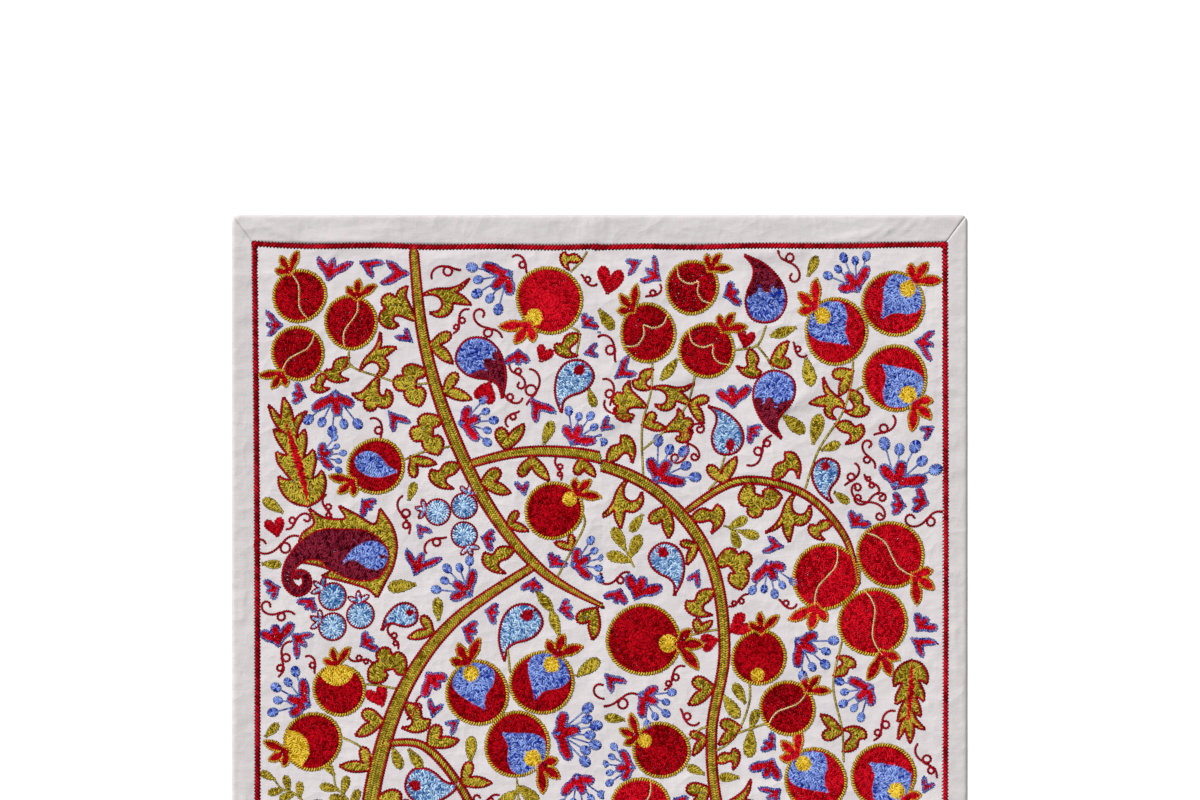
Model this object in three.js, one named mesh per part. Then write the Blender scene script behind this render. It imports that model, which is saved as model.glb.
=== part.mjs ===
// A hand-embroidered wall cloth (suzani) lying face up. Two ground panels meet at a centre seam,
// and four plain edging strips frame them with mitred corners. The embroidery draws the cloth in,
// so the seams bow inwards and soft folds lift here and there; elsewhere the cloth lies flat.
//
// Millimetres. X runs across the width, Y up the length to the top edge, Z up from the surface
// that the cloth lies on. The origin is under the middle of the cloth.
import * as THREE from "three";

const WIDTH = 1000;
const LENGTH = 1500;
const CORNER_RADIUS = 9;
const PANEL_THICKNESS = 1.5;
const EDGING_THICKNESS = 2; // the strip is folded over the edge
const SEAM_GAP = 0.3;

// How deep the edging is at a corner, and how much deeper half-way along that side.
const TOP_EDGING = { depth: 37, bow: 5 };
const SIDE_EDGING = { depth: 28, bow: 6 };

// The centre seam's place at mid-length, and how far it has drifted left near either end.
const CENTRE_SEAM = { x: 6, drift: 10.5, driftAt: 700 };

const PANEL_COLUMNS = 16;
const PANEL_ROWS = 70;
const EDGING_ROWS = 2;
const ARC_STEPS = 3; // in each half of a rounded corner

// Soft folds: centre, length along the fold, width across it, height, and turn from +X in degrees.
const FOLDS = [
  // in the top half, as they show
  { x: 264, y: 498, length: 190, width: 62, height: 2.6, turn: 34 },
  { x: 178, y: 646, length: 170, width: 56, height: 2.0, turn: 9 },
  { x: 60, y: 640, length: 120, width: 54, height: 1.6, turn: 7 },
  { x: 118, y: 534, length: 130, width: 54, height: 1.8, turn: 22 },
  { x: 22, y: 476, length: 150, width: 56, height: 2.2, turn: 27 },
  { x: 424, y: 520, length: 250, width: 62, height: 1.7, turn: 88 },
  { x: -330, y: 716, length: 190, width: 46, height: 1.8, turn: 3 },
  { x: -200, y: 688, length: 160, width: 50, height: 1.6, turn: 4 },
  { x: 240, y: 700, length: 190, width: 48, height: 1.7, turn: 3 },
  { x: 350, y: 716, length: 140, width: 46, height: 1.8, turn: 10 },
  { x: -14, y: 716, length: 110, width: 52, height: 2.0, turn: 62 },
  { x: -18, y: 322, length: 120, width: 60, height: 1.7, turn: 64 },
  { x: 150, y: 330, length: 140, width: 54, height: 1.6, turn: 18 },
  { x: -396, y: 330, length: 230, width: 60, height: 1.4, turn: 92 },
  { x: 330, y: 262, length: 150, width: 56, height: 1.5, turn: 24 },
  { x: 8, y: 130, length: 210, width: 60, height: 1.6, turn: 88 },
  // in the bottom half, of the same kind
  { x: -250, y: -70, length: 170, width: 56, height: 1.6, turn: -16 },
  { x: 240, y: -160, length: 180, width: 58, height: 1.9, turn: 28 },
  { x: -60, y: -300, length: 150, width: 56, height: 1.7, turn: -32 },
  { x: 400, y: -390, length: 230, width: 60, height: 1.5, turn: 86 },
  { x: -340, y: -470, length: 170, width: 56, height: 1.8, turn: 20 },
  { x: 130, y: -540, length: 180, width: 58, height: 1.8, turn: -12 },
  { x: -160, y: -700, length: 180, width: 48, height: 1.6, turn: -4 },
  { x: 290, y: -706, length: 160, width: 46, height: 1.6, turn: 5 },
];

const lerp = THREE.MathUtils.lerp;

// 1 half-way along a side and 0 at both of its ends.
const bowShare = (along, side) => 1 - (2 * along / side) ** 2;

const topSeam = (x) => LENGTH / 2 - TOP_EDGING.depth - TOP_EDGING.bow * bowShare(x, WIDTH);
const sideSeam = (y) => WIDTH / 2 - SIDE_EDGING.depth - SIDE_EDGING.bow * bowShare(y, LENGTH);
const centreSeam = (y) => CENTRE_SEAM.x - CENTRE_SEAM.drift * (y / CENTRE_SEAM.driftAt) ** 2;

// One fold is a smooth mound that ends exactly at its own length and width.
function foldLift(fold, x, y) {
  const turn = THREE.MathUtils.degToRad(fold.turn);
  const dx = x - fold.x;
  const dy = y - fold.y;
  const along = (dx * Math.cos(turn) + dy * Math.sin(turn)) / fold.length;
  const across = (dy * Math.cos(turn) - dx * Math.sin(turn)) / fold.width;
  if (Math.abs(along) >= 0.5 || Math.abs(across) >= 0.5) return 0;
  return fold.height * (Math.cos(Math.PI * along) * Math.cos(Math.PI * across)) ** 2;
}

const clothLift = (x, y) => FOLDS.reduce((sum, fold) => sum + foldLift(fold, x, y), 0);

// A closed sheet of even thickness over a plan of columns by rows, lifted by the folds.
function sheetGeometry(columns, rows, thickness, planAt) {
  const geometry = new THREE.BoxGeometry(1, 1, 1, columns, rows, 1);
  const position = geometry.getAttribute("position");
  for (let i = 0; i < position.count; i++) {
    const column = Math.round((position.getX(i) + 0.5) * columns);
    const row = Math.round((position.getY(i) + 0.5) * rows);
    const plan = planAt(column, row);
    const layer = (position.getZ(i) + 0.5) * thickness;
    position.setXYZ(i, plan.x, plan.y, clothLift(plan.x, plan.y) + layer);
  }
  geometry.computeVertexNormals();
  return geometry;
}

// A panel's point at a column counted from its left side and a row counted from its bottom.
function panelPoint(side, column, row) {
  const across = column / PANEL_COLUMNS;
  const outer = side * sideSeam(0);
  const nominalX = side < 0 ? lerp(outer, centreSeam(0), across) : lerp(centreSeam(0), outer, across);
  const edge = topSeam(nominalX) - SEAM_GAP / 2;
  const y = lerp(-edge, edge, row / PANEL_ROWS);
  const outerX = side * (sideSeam(y) - SEAM_GAP / 2);
  const innerX = centreSeam(y) + side * SEAM_GAP / 2;
  return new THREE.Vector2(side < 0 ? lerp(outerX, innerX, across) : lerp(innerX, outerX, across), y);
}

function panelGeometry(side) {
  const planAt = (column, row) => panelPoint(side, column, row);
  return sheetGeometry(PANEL_COLUMNS, PANEL_ROWS, PANEL_THICKNESS, planAt);
}

// The outside edge of a strip as if it were the top one: from the middle of one rounded corner to
// the middle of the next, with x along the side and y the reach from the middle of the cloth.
function outerEdge(side, reach, steps) {
  const points = [];
  const straight = side / 2 - CORNER_RADIUS;
  for (let i = 0; i < ARC_STEPS; i++) {
    const angle = Math.PI / 4 * (1 + i / ARC_STEPS);
    const x = -straight - CORNER_RADIUS * Math.cos(angle);
    points.push(new THREE.Vector2(x, reach - CORNER_RADIUS * (1 - Math.sin(angle))));
  }
  const straightSteps = steps - 2 * ARC_STEPS;
  for (let i = 0; i <= straightSteps; i++) {
    points.push(new THREE.Vector2(lerp(-straight, straight, i / straightSteps), reach));
  }
  for (let i = ARC_STEPS - 1; i >= 0; i--) {
    points.push(new THREE.Vector2(-points[i].x, points[i].y));
  }
  return points;
}

// A strip outside a line of panel edge points. quarterTurns turns the top strip's plan to its side,
// counter-clockwise, and the panel points run the way that the turned strip does.
function stripGeometry(panelEdge, side, reach, quarterTurns) {
  const middle = new THREE.Vector2();
  const turn = quarterTurns * Math.PI / 2;
  const outwards = new THREE.Vector2(0, SEAM_GAP).rotateAround(middle, turn);
  const onwards = new THREE.Vector2(SEAM_GAP, 0).rotateAround(middle, turn);
  const inside = panelEdge.map((point) => point.clone().add(outwards));
  const last = inside.length - 1;
  inside[0].sub(onwards);
  inside[last].add(onwards);
  const outside = outerEdge(side, reach, last).map((point) => point.rotateAround(middle, turn));
  // Both ends are drawn back a little from their mitre.
  for (const [end, way] of [[0, 1], [last, -1]]) {
    const mitre = outside[end].clone().sub(inside[end]).normalize();
    const back = new THREE.Vector2(mitre.y, -mitre.x).multiplyScalar(way * SEAM_GAP / 2);
    inside[end].add(back);
    outside[end].add(back);
  }
  const planAt = (column, row) => inside[column].clone().lerp(outside[column], row / EDGING_ROWS);
  return sheetGeometry(last, EDGING_ROWS, EDGING_THICKNESS, planAt);
}

// Both panels' points along one row, from left to right. The seam keeps the right panel's point.
function panelRow(row) {
  const points = [];
  for (let column = 0; column < PANEL_COLUMNS; column++) {
    points.push(panelPoint(-1, column, row));
  }
  for (let column = 0; column <= PANEL_COLUMNS; column++) {
    points.push(panelPoint(1, column, row));
  }
  return points;
}

// One panel's points along its outer edge, from bottom to top.
function panelSide(side) {
  const outerColumn = side < 0 ? 0 : PANEL_COLUMNS;
  const points = [];
  for (let row = 0; row <= PANEL_ROWS; row++) {
    points.push(panelPoint(side, outerColumn, row));
  }
  return points;
}

const groundCloth = new THREE.MeshStandardMaterial({ color: 0xd9d3d1, roughness: 0.85, metalness: 0 });
const edgingCloth = new THREE.MeshStandardMaterial({ color: 0xd3cecd, roughness: 0.88, metalness: 0 });

const suzani = new THREE.Group();

function addPiece(name, geometry, material) {
  const mesh = new THREE.Mesh(geometry, material);
  mesh.name = name;
  suzani.add(mesh);
}

addPiece("panel_left", panelGeometry(-1), groundCloth);
addPiece("panel_right", panelGeometry(1), groundCloth);
addPiece("edging_top", stripGeometry(panelRow(PANEL_ROWS), WIDTH, LENGTH / 2, 0), edgingCloth);
addPiece("edging_left", stripGeometry(panelSide(-1), LENGTH, WIDTH / 2, 1), edgingCloth);
addPiece("edging_bottom", stripGeometry(panelRow(0).reverse(), WIDTH, LENGTH / 2, 2), edgingCloth);
addPiece("edging_right", stripGeometry(panelSide(1).reverse(), LENGTH, WIDTH / 2, 3), edgingCloth);

export default suzani;
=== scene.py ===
import math
import bmesh
import bpy
import numpy as np
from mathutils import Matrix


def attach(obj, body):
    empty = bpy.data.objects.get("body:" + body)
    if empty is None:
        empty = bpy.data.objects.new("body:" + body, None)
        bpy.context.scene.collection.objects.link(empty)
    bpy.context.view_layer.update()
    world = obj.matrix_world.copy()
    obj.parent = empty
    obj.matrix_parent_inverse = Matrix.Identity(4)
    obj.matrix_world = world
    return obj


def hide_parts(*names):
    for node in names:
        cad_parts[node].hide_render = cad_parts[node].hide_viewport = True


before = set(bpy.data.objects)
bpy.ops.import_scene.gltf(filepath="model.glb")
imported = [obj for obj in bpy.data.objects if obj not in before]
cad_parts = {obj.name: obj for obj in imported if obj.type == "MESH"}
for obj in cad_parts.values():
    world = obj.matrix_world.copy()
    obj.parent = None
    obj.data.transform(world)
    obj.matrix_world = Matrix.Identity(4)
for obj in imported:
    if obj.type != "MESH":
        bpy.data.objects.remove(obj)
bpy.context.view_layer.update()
MM = 0.001

# The cloth, in millimetres, as the solids have it
WIDTH = 1000
LENGTH = 1500

# How far from the middle the drawing reaches, inside the border
DRAWN_ACROSS = 464
DRAWN_ALONG = 703

# Drawing on the cloth: millimetres, x across and y up the length, angles counter-clockwise in
# degrees. A mark is (x, y), with "tip" after it where the line turns sharply.
TIP = "tip"


def curve(marks, closed=False):
    """A smooth line through marks."""
    points = np.array([mark[:2] for mark in marks], float)
    sharp = [len(mark) > 2 for mark in marks]
    count = len(points)
    line = []
    for i in range(count if closed else count - 1):
        j = (i + 1) % count
        start, end = points[i], points[j]
        before = points[i - 1] if closed or i else start
        after = points[(i + 2) % count] if closed or i + 2 < count else end
        leave = end - start if sharp[i] else (end - before) / 2
        arrive = end - start if sharp[j] else (after - start) / 2
        t = np.linspace(0, 1, 12, endpoint=False)[:, None]
        line.append((2 * t**3 - 3 * t**2 + 1) * start + (t**3 - 2 * t**2 + t) * leave
                    + (3 * t**2 - 2 * t**3) * end + (t**3 - t**2) * arrive)
    if not closed:
        line.append(points[-1:])
    return np.concatenate(line)


def evenly(line, step, closed=False):
    """The same line with its points evenly spaced."""
    if closed:
        line = np.vstack([line, line[:1]])
    run = np.concatenate([[0], np.cumsum(np.hypot(*np.diff(line, axis=0).T))])
    at = np.linspace(0, run[-1], max(3, round(run[-1] / step)) + 1)
    even = np.column_stack([np.interp(at, run, line[:, 0]), np.interp(at, run, line[:, 1])])
    return even[:-1] if closed else even


def turned(line, x, y, growth, size=1.0, flip=False):
    """A motif's line, drawn growing along +y from its own origin, moved to its place."""
    angle = math.radians(growth)
    across = line[:, 0] * (-size if flip else size)
    along = line[:, 1] * size
    return np.column_stack([x + across * math.sin(angle) + along * math.cos(angle),
                            y - across * math.cos(angle) + along * math.sin(angle)])


def pointing(degrees):
    """The unit vector of an angle."""
    angle = math.radians(degrees)
    return np.array([math.cos(angle), math.sin(angle)])


def directions(line, closed=False):
    """Unit vectors along a line."""
    if closed:
        along = np.roll(line, -1, axis=0) - np.roll(line, 1, axis=0)
    else:
        along = np.gradient(line, axis=0)
    return along / np.maximum(np.hypot(*along.T), 1e-9)[:, None]


def inside(outline, points):
    """Which points lie inside a closed outline."""
    x, y = points[:, :1], points[:, 1:]
    ax, ay = outline.T
    bx, by = np.roll(outline, -1, axis=0).T
    crosses = (ay > y) != (by > y)
    at = ax + (y - ay) * (bx - ax) / np.where(by == ay, 1e-9, by - ay)
    return (crosses & (x < at)).sum(axis=1) % 2 == 1


def nearest(outline, points, closed=True):
    """How far each point lies from a line, and the way there from the line."""
    start = outline if closed else outline[:-1]
    span = (np.roll(outline, -1, axis=0) if closed else outline[1:])[:len(start)] - start
    length2 = np.maximum((span**2).sum(axis=1), 1e-9)
    distance, way = [], []
    for block in np.array_split(points, len(points) // 3000 + 1):
        offset = block[:, None] - start
        share = np.clip((offset * span).sum(axis=2) / length2, 0, 1)
        offset = offset - share[..., None] * span
        square = (offset**2).sum(axis=2)
        best = square.argmin(axis=1)
        rows = np.arange(len(block))
        distance.append(np.sqrt(square[rows, best]))
        way.append(offset[rows, best])
    return np.concatenate(distance), np.concatenate(way)


# What has been sewn already: a map of the cloth in millimetre cells, and the stitches by thread.
taken = np.zeros((LENGTH, WIDTH), bool)
sewn = {}
chance = np.random.default_rng(7)


def cells(points):
    """The rows and columns of the map's cells that points lie in."""
    column = np.clip(np.rint(points[:, 0] + WIDTH / 2).astype(int), 0, WIDTH - 1)
    row = np.clip(np.rint(points[:, 1] + LENGTH / 2).astype(int), 0, LENGTH - 1)
    return row, column


def cells_in(outline):
    """Points of a millimetre grid over an outline's box."""
    low = np.floor(outline.min(axis=0))
    high = np.ceil(outline.max(axis=0))
    x = np.arange(low[0], high[0] + 1)
    y = np.arange(low[1], high[1] + 1)
    return np.stack(np.meshgrid(x, y), axis=-1).reshape(-1, 2)


def sew(thread, points, heading, length, width, tone_and_sheen, rise=1.0):
    """Keeps stitches: where they lie, which way they point in radians, their size, and their tone, which also
    sets how much painted sheen they get.
    """
    rows = np.column_stack(np.broadcast_arrays(
        points[:, 0], points[:, 1], heading, length, width, tone_and_sheen, rise))
    sewn.setdefault(thread, []).append(rows)


# How far the tone changes slowly over the cloth: partly changes of thread, partly painted sheen
SLOW_TONE_AND_SHEEN = 0.14


def shade(points, spread=0.24, seed=0.0):
    """Each stitch's own tone, at random, with slow changes over the cloth, partly as the thread is changed
    and partly painted sheen that comes and goes as the stitches lie to the light.
    """
    x, y = points[:, 0], points[:, 1]
    slow = np.sin(x / 23 + seed) * np.sin(y / 29 + 2 * seed) + 0.6 * np.sin((x + y) / 11 + seed)
    return np.clip(0.5 + SLOW_TONE_AND_SHEEN * slow + chance.normal(0, spread, len(points)), 0, 1)


FILL_ROW = 4.5
FILL_PITCH = 3.3
FILL_SLANT = 34
FILL_SHADE = 0.36
FOOT = {"long": 1.6, "wide": 1.0}  # how far the feet of fill stitches reach under their neighbours
BARE = 2.3  # the farthest that a place in a filled shape lies from a stitch
UNEVEN_TURN = 0.12  # how far stitches in a fill turn by chance, in radians
FEWEST_CELLS = 4
OUTLINE_STEP = 0.7
ROW_SLACK = 0.75  # how much nearer to the outline than its level a row may come
EDGE_FREE = 0.6  # no extra stitch lies nearer than this to the first row's outer edge


def facing_in(outline, line, along):
    """Unit vectors from points of a closed outline to its inside."""
    normal = np.column_stack([-along[:, 1], along[:, 0]])
    probe = line[:40] + normal[:40] * 0.3
    return normal if inside(outline, probe).mean() >= 0.5 else -normal


def rows_inwards(outline, own, depth, levels, slant):
    """Where the stitches lie in rows that follow an outline at each of the levels, and their headings."""
    low = own.min(axis=0)
    size = (own.max(axis=0) - low + 1).astype(int)
    field = np.zeros(size)
    field[tuple((own - low).astype(int).T)] = depth
    fine = evenly(outline, OUTLINE_STEP, closed=True)
    normal = facing_in(outline, fine, directions(fine, closed=True))
    centres, headings = [np.zeros((0, 2))], [np.zeros(0)]
    for k, level in enumerate(levels):
        line = fine + normal * level
        at = np.rint(line - low).astype(int)
        on = ((at >= 0) & (at < size)).all(axis=1)
        at = np.clip(at, 0, size - 1)
        good = on & (field[at[:, 0], at[:, 1]] > level - ROW_SLACK)
        if not good.any():
            continue
        facing = normal
        if not good.all():
            first = int(np.argmin(good))
            good = np.roll(good, -first)
            line = np.roll(line, -first, axis=0)
            facing = np.roll(normal, -first, axis=0)
        step = np.hypot(*(line - np.roll(line, 1, axis=0)).T)
        step = np.where(good & np.roll(good, 1), step, 0)
        starts = good & ~np.roll(good, 1)
        starts[0] |= good[0]
        run = np.cumsum(starts)
        for one in range(1, run.max() + 1):
            here = np.flatnonzero(good & (run == one))
            travel = np.cumsum(step[here])
            count = max(1, round(travel[-1] / FILL_PITCH))
            picks = here[np.searchsorted(travel, (np.arange(count) + 0.5) * travel[-1] / count)]
            centres.append(line[picks])
            lean = math.radians(slant if k % 2 else -slant)
            headings.append(np.arctan2(facing[picks, 1], facing[picks, 0]) + lean)
    return np.concatenate(centres), np.concatenate(headings)


def between_rows(spare, way, centres, slant):
    """Extra stitches where the rows leave cloth bare, and their headings."""
    bare = np.full(len(spare), 99.0)
    for block in np.array_split(centres, len(centres) // 200 + 1):
        if len(block):
            offset = spare[:, None] - block
            bare = np.minimum(bare, np.sqrt((offset**2).sum(axis=2)).min(axis=1))
    extra, headings = [], []
    while bare.max(initial=0) > BARE:
        i = int(bare.argmax())
        extra.append(spare[i])
        lean = math.radians(slant) * chance.choice([-1, 1])
        headings.append(math.atan2(way[i, 1], way[i, 0]) + lean)
        bare = np.minimum(bare, np.hypot(*(spare - spare[i]).T))
    return np.reshape(extra, (-1, 2)), np.array(headings)


def fill(outline, thread, edge=1.5, gaps=(), slant=FILL_SLANT):
    """Rows of short stitches that follow an outline inwards, slanted one way and then the other,
    and leave out the gaps."""
    outline = evenly(outline, 2.5, closed=True)
    grid = cells_in(outline)
    mask = inside(outline, grid)
    for gap in gaps:
        mask &= ~inside(gap, grid)
    mask &= ~taken[cells(grid)]
    own = grid[mask]
    if len(own) < FEWEST_CELLS:
        return
    depth, way = nearest(outline, own)
    rows = max(1, round((depth.max() - edge) / FILL_ROW))
    pitch = (depth.max() - edge) / rows
    levels = edge + (np.arange(rows) + 0.5) * pitch
    centres, headings = rows_inwards(outline, own, depth, levels, slant)
    spare = depth > edge + EDGE_FREE
    extra, extra_headings = between_rows(own[spare], way[spare], centres, slant)
    centres = np.vstack([centres, extra])
    headings = np.concatenate([headings, extra_headings])
    headings = headings + chance.normal(0, UNEVEN_TURN, len(centres))
    sew(thread, centres, headings, pitch + FOOT["long"], FILL_PITCH + FOOT["wide"],
        shade(centres, FILL_SHADE, seed=len(centres)))


# Ways to sew along a line. Slant is the stitch's turn from the line, rise its height, and spread
# how much its shade changes by chance.
LINE_STITCHES = {
    "chain": {"pitch": 3.6, "length": 5.6, "width": 4.3, "slant": 20, "rise": 1.35, "spread": 0.26},
    "teeth": {"pitch": 3.5, "length": 5.4, "width": 3.5, "slant": 68, "rise": 1.5, "spread": 0.3},
    "edge": {"pitch": 4.2, "length": 5.8, "width": 2.9, "slant": 14, "rise": 1.15, "spread": 0.24},
    "thin": {"pitch": 3.8, "length": 5.2, "width": 3.2, "slant": 14, "rise": 1.25, "spread": 0.3},
    "rope": {"pitch": 4.6, "length": 8.8, "width": 5.5, "slant": 52, "rise": 1.4, "spread": 0.3},
}


TEETH_UNEVEN = 0.16  # how much longer or shorter the stitches of a toothed edge are
# Toothed edges keep nearer their body colour, with less of the pale painted sheen
TEETH_SHADE = 0.7


def stitch_line(line, thread, way, closed=False, size=1.0, over=False):
    """Stitches along a line, left out where another piece of the drawing already lies."""
    how = LINE_STITCHES[way]
    points = evenly(line, how["pitch"] * size, closed)
    along = directions(points, closed)
    if not over:
        free = ~taken[cells(points)]
        points, along = points[free], along[free]
    if not len(points):
        return
    heading = np.arctan2(along[:, 1], along[:, 0]) + math.radians(how["slant"])
    heading = heading + chance.normal(0, 0.07, len(points))
    tone_and_sheen = shade(points, how["spread"], seed=3)
    if way == "rope":
        tone_and_sheen = np.clip(tone_and_sheen + 0.3 * np.sin(points[:, 0] / 17 + np.sin(points[:, 1] / 13)), 0, 1)
    length = np.full(len(points), how["length"] * size)
    if way == "teeth":
        tone_and_sheen = TEETH_SHADE * tone_and_sheen
        length *= 1 + TEETH_UNEVEN * np.sin(np.arange(len(points)) * 2.3)
    sew(thread, points, heading, length, how["width"] * size, tone_and_sheen, how["rise"] * size)


# Room left on the cloth, as the distance in millimetres from each cell of a coarse grid to the
# nearest thing drawn.
ROOM_STEP = 5
room_x = np.arange(-WIDTH / 2, WIDTH / 2 + 1, ROOM_STEP)
room_y = np.arange(-LENGTH / 2, LENGTH / 2 + 1, ROOM_STEP)
room = np.full((len(room_y), len(room_x)), 999.0)


def claim(line, closed=True, reach=60, width=0):
    """Marks a motif's place as used."""
    rough = evenly(line, 6.0, closed)
    low = rough.min(axis=0) - reach
    high = rough.max(axis=0) + reach
    columns = np.flatnonzero((room_x > low[0]) & (room_x < high[0]))
    rows = np.flatnonzero((room_y > low[1]) & (room_y < high[1]))
    if not len(columns) or not len(rows):
        return
    grid = np.stack(np.meshgrid(room_x[columns], room_y[rows]), axis=-1).reshape(-1, 2)
    distance = nearest(rough, grid, closed)[0]
    if closed:
        distance[inside(rough, grid)] = 0
    distance = np.maximum(distance - width, 0)
    patch = room[np.ix_(rows, columns)]
    room[np.ix_(rows, columns)] = np.minimum(patch, distance.reshape(patch.shape))


def settle(outline):
    """Ends a motif: nothing is sewn over it later."""
    grid = cells_in(outline)
    filled = grid[inside(outline, grid)]
    for dx, dy in ((0, 0), (1, 0), (-1, 0), (0, 1), (0, -1)):
        taken[cells(filled + [dx, dy])] = True
    claim(outline)


def area(outline, thread, edge_thread, edge_way="chain", edge_size=1.0, gaps=(), slant=FILL_SLANT):
    """One filled shape with its sewn outline."""
    outline = evenly(outline, 2.0, closed=True)
    fill(outline, thread, 0.9 * edge_size, gaps, slant)
    stitch_line(outline, edge_thread, edge_way, closed=True, size=edge_size)
    settle(outline)


def plain(outline, thread):
    """One filled shape, edged in its own thread."""
    fill(outline, thread, 0.6)
    stitch_line(outline, thread, "edge", closed=True)
    settle(outline)


# Outlines of the traditional motifs, growing up from the origin
HORN_LEAF = curve([
    (0, 0, TIP), (9, 7), (18, 19), (24, 33), (34, 46), (50, 57, TIP), (33, 52), (23, 44, TIP), (22, 58),
    (15, 74, TIP), (10, 59), (7, 47, TIP), (-4, 50), (-15, 45), (-21, 34), (-20, 22, TIP), (-12, 33),
    (-1, 34), (7, 26), (7, 14), (3, 6)], closed=True)
SCROLL_LEAF = curve([
    (0, 0, TIP), (13, 2), (27, 6), (40, 9), (54, 4, TIP), (50, 17), (40, 24, TIP), (47, 32), (44, 43),
    (34, 46), (26, 41, TIP), (22, 50), (10, 54), (-1, 47), (-5, 35), (-1, 27, TIP), (6, 34), (13, 31),
    (12, 22), (6, 12), (2, 5)], closed=True)
PRONG_LEAF = curve([
    (0, 0, TIP), (13, 3), (24, 14), (38, 25), (56, 31, TIP), (39, 32), (24, 28, TIP), (23, 43),
    (15, 60, TIP), (9, 44), (8, 31, TIP), (-1, 35), (-12, 30), (-18, 17, TIP), (-9, 23), (0, 21),
    (5, 13), (2, 5)], closed=True)
HEART_LEAF = 0.72 * curve([
    (0, 0, TIP), (13, 8), (27, 20), (31, 34), (22, 43), (9, 38), (3, 28, TIP), (-1, 42), (-9, 53),
    (-20, 64, TIP), (-24, 49), (-21, 32), (-13, 17), (-6, 8)], closed=True)
PAIR_LEAF = 0.76 * curve([
    (0, 0, TIP), (12, 3), (26, 5), (39, 13), (41, 23), (32, 27), (20, 23), (10, 17, TIP), (11, 31),
    (6, 46), (-4, 61, TIP), (-9, 45), (-9, 28), (-5, 12)], closed=True)
CURL_LEAF = 0.84 * curve([
    (0, 0, TIP), (15, 5), (28, 15), (30, 29), (20, 37, TIP), (28, 47), (23, 59), (9, 62), (0, 53, TIP),
    (-9, 60), (-24, 61), (-40, 52, TIP), (-36, 38), (-27, 28), (-15, 28), (-12, 37, TIP), (-5, 30),
    (0, 22), (-5, 12)], closed=True)
HOOK_LEAF = curve([
    (0, 0, TIP), (9, 10), (12, 22), (6, 34), (14, 44, TIP), (5, 51), (-6, 50), (-18, 42),
    (-27, 27, TIP), (-15, 33), (-7, 28), (-7, 14)], closed=True)
BOTEH = curve([
    (-27, 0), (-23, -18), (-7, -27), (12, -25), (26, -9), (27, 12), (18, 32), (4, 48), (-18, 62, TIP),
    (-9, 46), (-12, 31), (-22, 16)], closed=True)
LANCE_LEAF = curve([
    (0, 0, TIP), (4, 9), (7.5, 20), (6.5, 31), (0, 37), (-6.5, 30), (-6.5, 19), (-4, 9)], closed=True)
POINTED_LEAF = curve([
    (0, 0, TIP), (5, 8), (7, 19), (4, 30), (0, 40, TIP), (-4, 29), (-6, 17), (-4, 7)], closed=True)
HEART = curve([
    (0, -3, TIP), (10, 8), (14, 20), (8, 27), (1, 22), (-1, 14, TIP), (-7, 24), (-15, 25), (-17, 16),
    (-9, 6)], closed=True)
DROP = curve([(0, 0, TIP), (5.5, 9), (5, 17), (0, 20.5), (-5, 17), (-5.5, 9)], closed=True)
BOTEH_EYE = curve([
    (-1, -27, TIP), (4, -22), (11, -15), (10, -6), (3, -2), (-5, -6), (-7, -15), (-3, -22)], closed=True)


def disc(radius, wobble=0.0, seed=0.0):
    """A circle, a little out of round where it wobbles."""
    turn = np.linspace(0, 2 * math.pi, 60, endpoint=False)
    reach = radius * (1 + wobble * np.cos(2 * turn + seed) + 0.6 * wobble * np.cos(3 * turn - seed))
    return np.column_stack([reach * np.cos(turn), reach * np.sin(turn)])


def petals(blades, width=11, root=5, pointed=False):
    """A spray of petals from one foot. Blades are (turn, length), turned from straight up."""
    blades = sorted(blades)
    last = len(blades) - 1
    marks = [(0, -root, TIP)]
    for i, (lean, length) in enumerate(blades):
        def mark(off_turn, reach, *kind):
            angle = math.radians(90 - lean - off_turn)
            return (reach * math.cos(angle), reach * math.sin(angle), *kind)
        spread = math.degrees(width / 2 / (0.6 * length))
        if i == 0:
            marks.append(mark(-spread * 1.3, length * 0.3))
        marks.append(mark(-spread, length * 0.6))
        if pointed:
            marks.append(mark(-spread * 0.45, length * 0.86))
            marks.append(mark(spread * 0.15, length * 1.06, TIP))
            marks.append(mark(spread * 0.6, length * 0.82))
        else:
            marks.append(mark(-spread * 0.45, length * 0.93))
            marks.append(mark(0, length))
            marks.append(mark(spread * 0.45, length * 0.93))
        marks.append(mark(spread, length * 0.6))
        if i == last:
            marks.append(mark(spread * 1.3, length * 0.3))
        else:
            following = blades[i + 1][0]
            marks.append(mark((following - lean) / 2, root * 1.8, TIP))
    return curve(marks[::-1], closed=True)


def winding(bends):
    """A line that bends as it goes, about its own middle. Bends are (length, radius at their start,
    radius at their end), to the left where positive."""
    turn = np.concatenate([np.linspace(1 / first, 1 / last, round(length)) for length, first, last in bends])
    heading = math.pi / 2 + np.cumsum(turn)
    line = np.cumsum(np.column_stack([np.cos(heading), np.sin(heading)]), axis=0)
    return line - line.mean(axis=0)


FRUIT_SEPALS = [(-60, 0.66), (-10, 0.84), (40, 1.02)]
BERRY_SEPALS = [(-62, 0.9), (0, 0.85), (60, 0.9)]


def crown(x, y, growth, size, thread, edge="yellow", way="teeth", sepals=FRUIT_SEPALS):
    """The sepals on a fruit, as (turn, share of the size)."""
    blades = [(lean, size * share) for lean, share in sepals]
    outline = petals(blades, width=size * 0.36, root=size * 0.15, pointed=True)
    area(turned(outline, x, y, growth), thread, edge, way, edge_size=0.74)


def split(outline, seam):
    """Two outlines, on either side of a seam that crosses a closed outline."""
    first = np.hypot(*(outline - seam[0]).T).argmin()
    last = np.hypot(*(outline - seam[-1]).T).argmin()
    ring = np.roll(outline, -first, axis=0)
    turn = (last - first) % len(outline)
    return np.vstack([ring[:turn + 1], seam[::-1]]), np.vstack([ring[turn:], seam])


def crisp(outline, thread):
    """A line of stitches just inside a filled shape, over the meeting of two threads."""
    centre = outline.mean(axis=0)
    stitch_line(centre + (outline - centre) * 0.96, thread, "edge", closed=True, size=0.8, over=True)


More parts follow.
